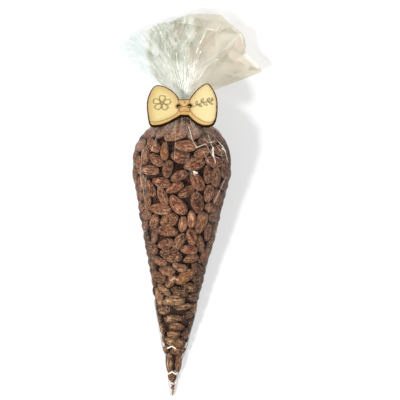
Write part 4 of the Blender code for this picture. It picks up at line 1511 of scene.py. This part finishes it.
def plywood():
    finish, tree, shader = new_finish("plywood")
    plank = kept(tree, "plank", "Vector")
    edge = kept(tree, "edge")
    grain = grain_noise(tree, stretched(tree, plank, 0.10, 1.4, 1.4), 1.0, 4, 0.6)
    smoke = grain_noise(tree, plank, 0.16, 3, 0.6)
    wavering = plus(tree, edge, times(tree, smoke, 1.2))
    across = add_node(tree, "SeparateXYZ", {"Vector": plank}).outputs["X"]
    # Paler away from the rim, and towards the right wing, which is painted light.
    paler_and_lit_right = times(tree, within(tree, wavering, 1.5, 4.0), within(tree, across, -24, 26))
    off_rim = within(tree, wavering, 1.3, 1.8)
    golden = times(tree, kept(tree, "under"), off_rim)
    browned = times(tree, kept(tree, "knot"), within(tree, smoke, 0.15, 0.75))
    browned = times(tree, browned, times(tree, off_rim, 0.7))
    burnt = within(tree, kept(tree, "scorch"), 0.05, 0.95)
    face = colour_steps(tree, within(tree, wavering, 0.3, 9.3), TOASTED)
    face = blend_colours(tree, times(tree, paler_and_lit_right, 0.6), face, PALE_WOOD)
    face = blend_colours(tree, times(tree, golden, 0.55), face, GOLDEN_WOOD)
    face = blend_colours(tree, browned, face, KNOT_BROWN)
    face = blend_colours(tree, times(tree, within(tree, grain, 0.5, 0.75), 0.16), face, GRAIN_BROWN)
    face = blend_colours(tree, times(tree, burnt, 0.9), face, LINE_BROWN)
    charred = within(tree, edge, 1.0, 0.4)
    inputs = {
        "Base Color": face,
        "Roughness": calculate(tree, "MAXIMUM", spread(tree, grain, 0.45, 0.65), charred),
        "Specular IOR Level": 0.12,
        "Normal": add_bump(tree, grain, 0.25, 0.2 * MM),
    }
    fill_inputs(tree, shader, inputs)
    return finish


add_piece("wooden_bow", bow_build, plywood(), "bow_plywood", "bow", smooth=False)

# %% [markdown]
# ## The thread
# A waxed thread of two twisted strands goes through both holes of the bow and round the neck of the
# bag. Its route is the solid model's. Each strand follows that route at a small distance, turning
# round it as it goes, and a curve's round bevel gives it its thickness.

# %% The tie
THREAD_RADIUS = 0.6 * MM
THREAD_HALF_WIDTH = 6.3 * MM
THREAD_DROP = 5.7 * MM
THREAD_CORNER = 1.2 * MM
THREAD_SIDE_SHARES = (0.35, 0.7)
THREAD_GAP = 0.3 * MM
STRAND_RADIUS = 0.34 * MM
TURNS_ALONG_THREAD = 22


def thread_path():
    """The thread's route in its own plane: over the bow, through both holes and under the neck."""
    top = BOW_BACK_HEIGHT + PLY / math.cos(BOW_TILT) + THREAD_RADIUS + THREAD_GAP
    hole = HOLE_SPACING / 2
    neck = float(axis_height(TIE))
    path = []
    for angle in np.linspace(0, math.pi / 2, 4):
        x = hole - THREAD_CORNER * (1 - math.sin(angle))
        path.append((x, top - THREAD_CORNER * (1 - math.cos(angle))))
    for share in THREAD_SIDE_SHARES:
        drop = top - THREAD_CORNER - neck
        path.append((hole + (THREAD_HALF_WIDTH - hole) * share, neck + drop * (1 - share)))
    for angle in np.linspace(0, math.pi / 2, 7):
        path.append((THREAD_HALF_WIDTH * math.cos(angle), neck - THREAD_DROP * math.sin(angle)))
    return path + [(-x, z) for x, z in reversed(path[:-1])]


def strand(route, turn):
    """One strand: a tube that winds round the route."""
    onward = np.roll(route, -1, axis=0) - np.roll(route, 1, axis=0)
    onward /= np.linalg.norm(onward, axis=1, keepdims=True)
    angle = 2 * math.pi * TURNS_ALONG_THREAD * np.arange(len(route)) / len(route) + turn
    away = (THREAD_RADIUS - STRAND_RADIUS) * np.cos(angle)
    x = route[:, 0] - onward[:, 1] * away
    z = route[:, 1] + onward[:, 0] * away
    y = (THREAD_RADIUS - STRAND_RADIUS) * np.sin(angle)
    curve = bpy.data.curves.new("strand", "CURVE")
    curve.dimensions = "3D"
    curve.bevel_depth = STRAND_RADIUS
    curve.bevel_resolution = 1
    line = curve.splines.new("POLY")
    line.points.add(len(route) - 1)
    for point, place in zip(line.points, np.stack([x, y, z], axis=1).tolist()):
        point.co = (*place, 1)
    line.use_cyclic_u = True
    holder = bpy.data.objects.new("strand", curve)
    mesh = bpy.data.meshes.new_from_object(holder)
    bpy.data.objects.remove(holder)
    return mesh


def thread_finish():
    finish, tree, shader = new_finish("waxed_thread")
    place = add_node(tree, "TexCoord").outputs["Object"]
    fibres = grain_noise(tree, place, 2600, 3, 0.6)
    browns = [(0.3, (120, 72, 26)), (0.7, (196, 138, 66))]
    inputs = {
        "Base Color": colour_steps(tree, fibres, browns),
        "Roughness": spread(tree, fibres, 0.4, 0.6),
        "Normal": add_bump(tree, fibres, 0.4, 0.1 * MM),
    }
    fill_inputs(tree, shader, inputs)
    return finish


thread_build = bmesh.new()
thread_route = smooth_route(thread_path(), closed=True, steps=9)
for turn in (0.0, math.pi):
    thread_build.from_mesh(strand(thread_route, turn))
thread_place = Matrix.Translation((0, BOW_STATION - ORIGIN_STATION, 0)) @ Matrix.Rotation(BOW_TURN, 4, "Z")
bmesh.ops.transform(thread_build, matrix=thread_place, verts=thread_build.verts)
add_piece("thread", thread_build, thread_finish(), "tie_thread", "tie")

# %% [markdown]
# ## Crumbs at the tip
# Bits of skin and broken almond slip down between the others and collect in the tip. Each crumb is a
# small ball, stretched, turned and roughened by chance, and takes the almonds' finish.

# %% The crumbs
CRUMBS = [  # X, station, radius and tone
    (-0.9, 17.6, 1.3, -0.6), (0.2, 15.9, 0.7, 0.1), (0.4, 12.3, 1.5, 0.9), (-0.5, 10.6, 1.6, 0.7),
    (0.5, 9.2, 1.3, 1.0), (0.0, 7.7, 1.0, 1.3), (-1.4, 13.4, 0.6, 0.2), (1.5, 14.2, 0.5, 0.8),
    (0.2, 6.4, 1.0, 1.5), (-0.1, 4.8, 0.9, 1.5), (0.0, 3.3, 0.8, 1.5), (0.9, 16.4, 0.9, 0.4),
]  # fmt: skip


def add_crumbs():
    draw = np.random.default_rng(8)
    build = bmesh.new()
    tone_layer = build.verts.layers.float.new("tone")
    skin_layer = build.verts.layers.float_vector.new("skin")
    for x, station, radius, tone in CRUMBS:
        height = float(axis_height(station * MM)) + 0.3 * MM
        place = Matrix.Translation((x * MM, station * MM - ORIGIN_STATION, height))
        spin = Euler(draw.uniform(0, 6, 3).tolist()).to_matrix().to_4x4()
        stretch = Matrix.Diagonal((*(radius * MM * draw.uniform(0.75, 1.25, 3)), 1))
        made = bmesh.ops.create_icosphere(build, subdivisions=2, radius=1, matrix=place @ spin @ stretch)
        pattern = draw.uniform(0, SKIN_SPREAD, 3)
        for corner in made["verts"]:
            corner.co += Vector(draw.uniform(-0.14, 0.14, 3) * radius * MM)
            corner[tone_layer] = tone
            corner[skin_layer] = pattern + np.array(corner.co) / MM
    return build


add_piece("crumbs", add_crumbs(), almonds_piece.data.materials[0], "smoked_almond", "almond_cone")

# %% [markdown]
# ## The floor, the light and the camera
# The bag was photographed on white. A soft lamp on the lower left gives the faint shadow to the
# upper right, and an even white sky fills the rest. A smaller lamp stands low on the right, and the
# film mirrors only that one, in a few small glints. The floor glows a little, as paper does in front
# of a lit wall, so that it is white and the shadow on it stays pale. The camera looks straight down
# from 1.5 m with a long lens, so one pixel of a 400 pixel picture is one millimetre.

# %% Floor, light and camera
PHOTO_WIDTH = 0.400
CAMERA_DISTANCE = 1.5
CAMERA_PLANE = 35 * MM
CAMERA_X = 19.5 * MM
CAMERA_Y = 15.0 * MM
CAMERA_TURN = math.radians(2.45)
SENSOR = 36.0
LAMPS = [  # name, azimuth and elevation in degrees, distance, size, power, and mirrored in the film
    ("soft_lamp", 212, 57, 1.4, 0.16, 26.0, False),
    ("low_lamp", 25, 10, 1.0, 0.12, 2.4, True),
]
SKY_STRENGTH = 0.8
FLOOR_GLOW = 0.58


def add_floor():
    build = bmesh.new()
    bmesh.ops.create_grid(build, x_segments=1, y_segments=1, size=3)
    mesh = bpy.data.meshes.new("floor")
    build.to_mesh(mesh)
    build.free()
    finish, tree, shader = new_finish("white_floor")
    place = add_node(tree, "TexCoord").outputs["Object"]
    greys = [(0.0, (139.4, 139.4, 139.4)), (1.0, (141.9, 141.9, 141.9))]
    inputs = {
        "Base Color": colour_steps(tree, grain_noise(tree, place, 4), greys),
        "Roughness": 0.9,
        "Specular IOR Level": 0.0,
        "Emission Color": (1, 1, 1, 1),
        "Emission Strength": FLOOR_GLOW,
    }
    fill_inputs(tree, shader, inputs)
    mesh.materials.append(finish)
    floor = bpy.data.objects.new("floor", mesh)
    bpy.context.scene.collection.objects.link(floor)


def add_lamp(name, azimuth, elevation, distance, size, power, mirrored):
    """A square lamp. Unless mirrored, it is behind a polariser: it lights the bag but isn't mirrored."""
    lamp = bpy.data.lights.new(name, "AREA")
    lamp.size = size
    lamp.energy = power
    raised = Matrix.Rotation(-math.radians(elevation), 3, "Y") @ Vector((1, 0, 0))
    direction = Matrix.Rotation(math.radians(azimuth), 3, "Z") @ raised
    holder = bpy.data.objects.new(name, lamp)
    holder.location = direction * distance
    holder.rotation_euler = direction.to_track_quat("Z", "Y").to_euler()
    holder.visible_glossy = mirrored
    bpy.context.scene.collection.objects.link(holder)


def add_camera():
    lens = bpy.data.cameras.new("camera")
    lens.sensor_width = SENSOR
    lens.lens = SENSOR * CAMERA_DISTANCE / PHOTO_WIDTH
    camera = bpy.data.objects.new("camera", lens)
    camera.location = (CAMERA_X, CAMERA_Y, CAMERA_PLANE + CAMERA_DISTANCE)
    camera.rotation_euler = (0, 0, CAMERA_TURN)
    bpy.context.scene.collection.objects.link(camera)
    bpy.context.scene.camera = camera


def add_sky():
    sky = bpy.data.worlds.new("sky")
    sky.use_nodes = True
    background = sky.node_tree.nodes["Background"]
    fill_inputs(sky.node_tree, background, {"Color": (1, 1, 1, 1), "Strength": SKY_STRENGTH})
    bpy.context.scene.world = sky


add_floor()
for lamp in LAMPS:
    add_lamp(*lamp)
add_sky()
add_camera()
bpy.context.scene.view_settings.view_transform = "Standard"
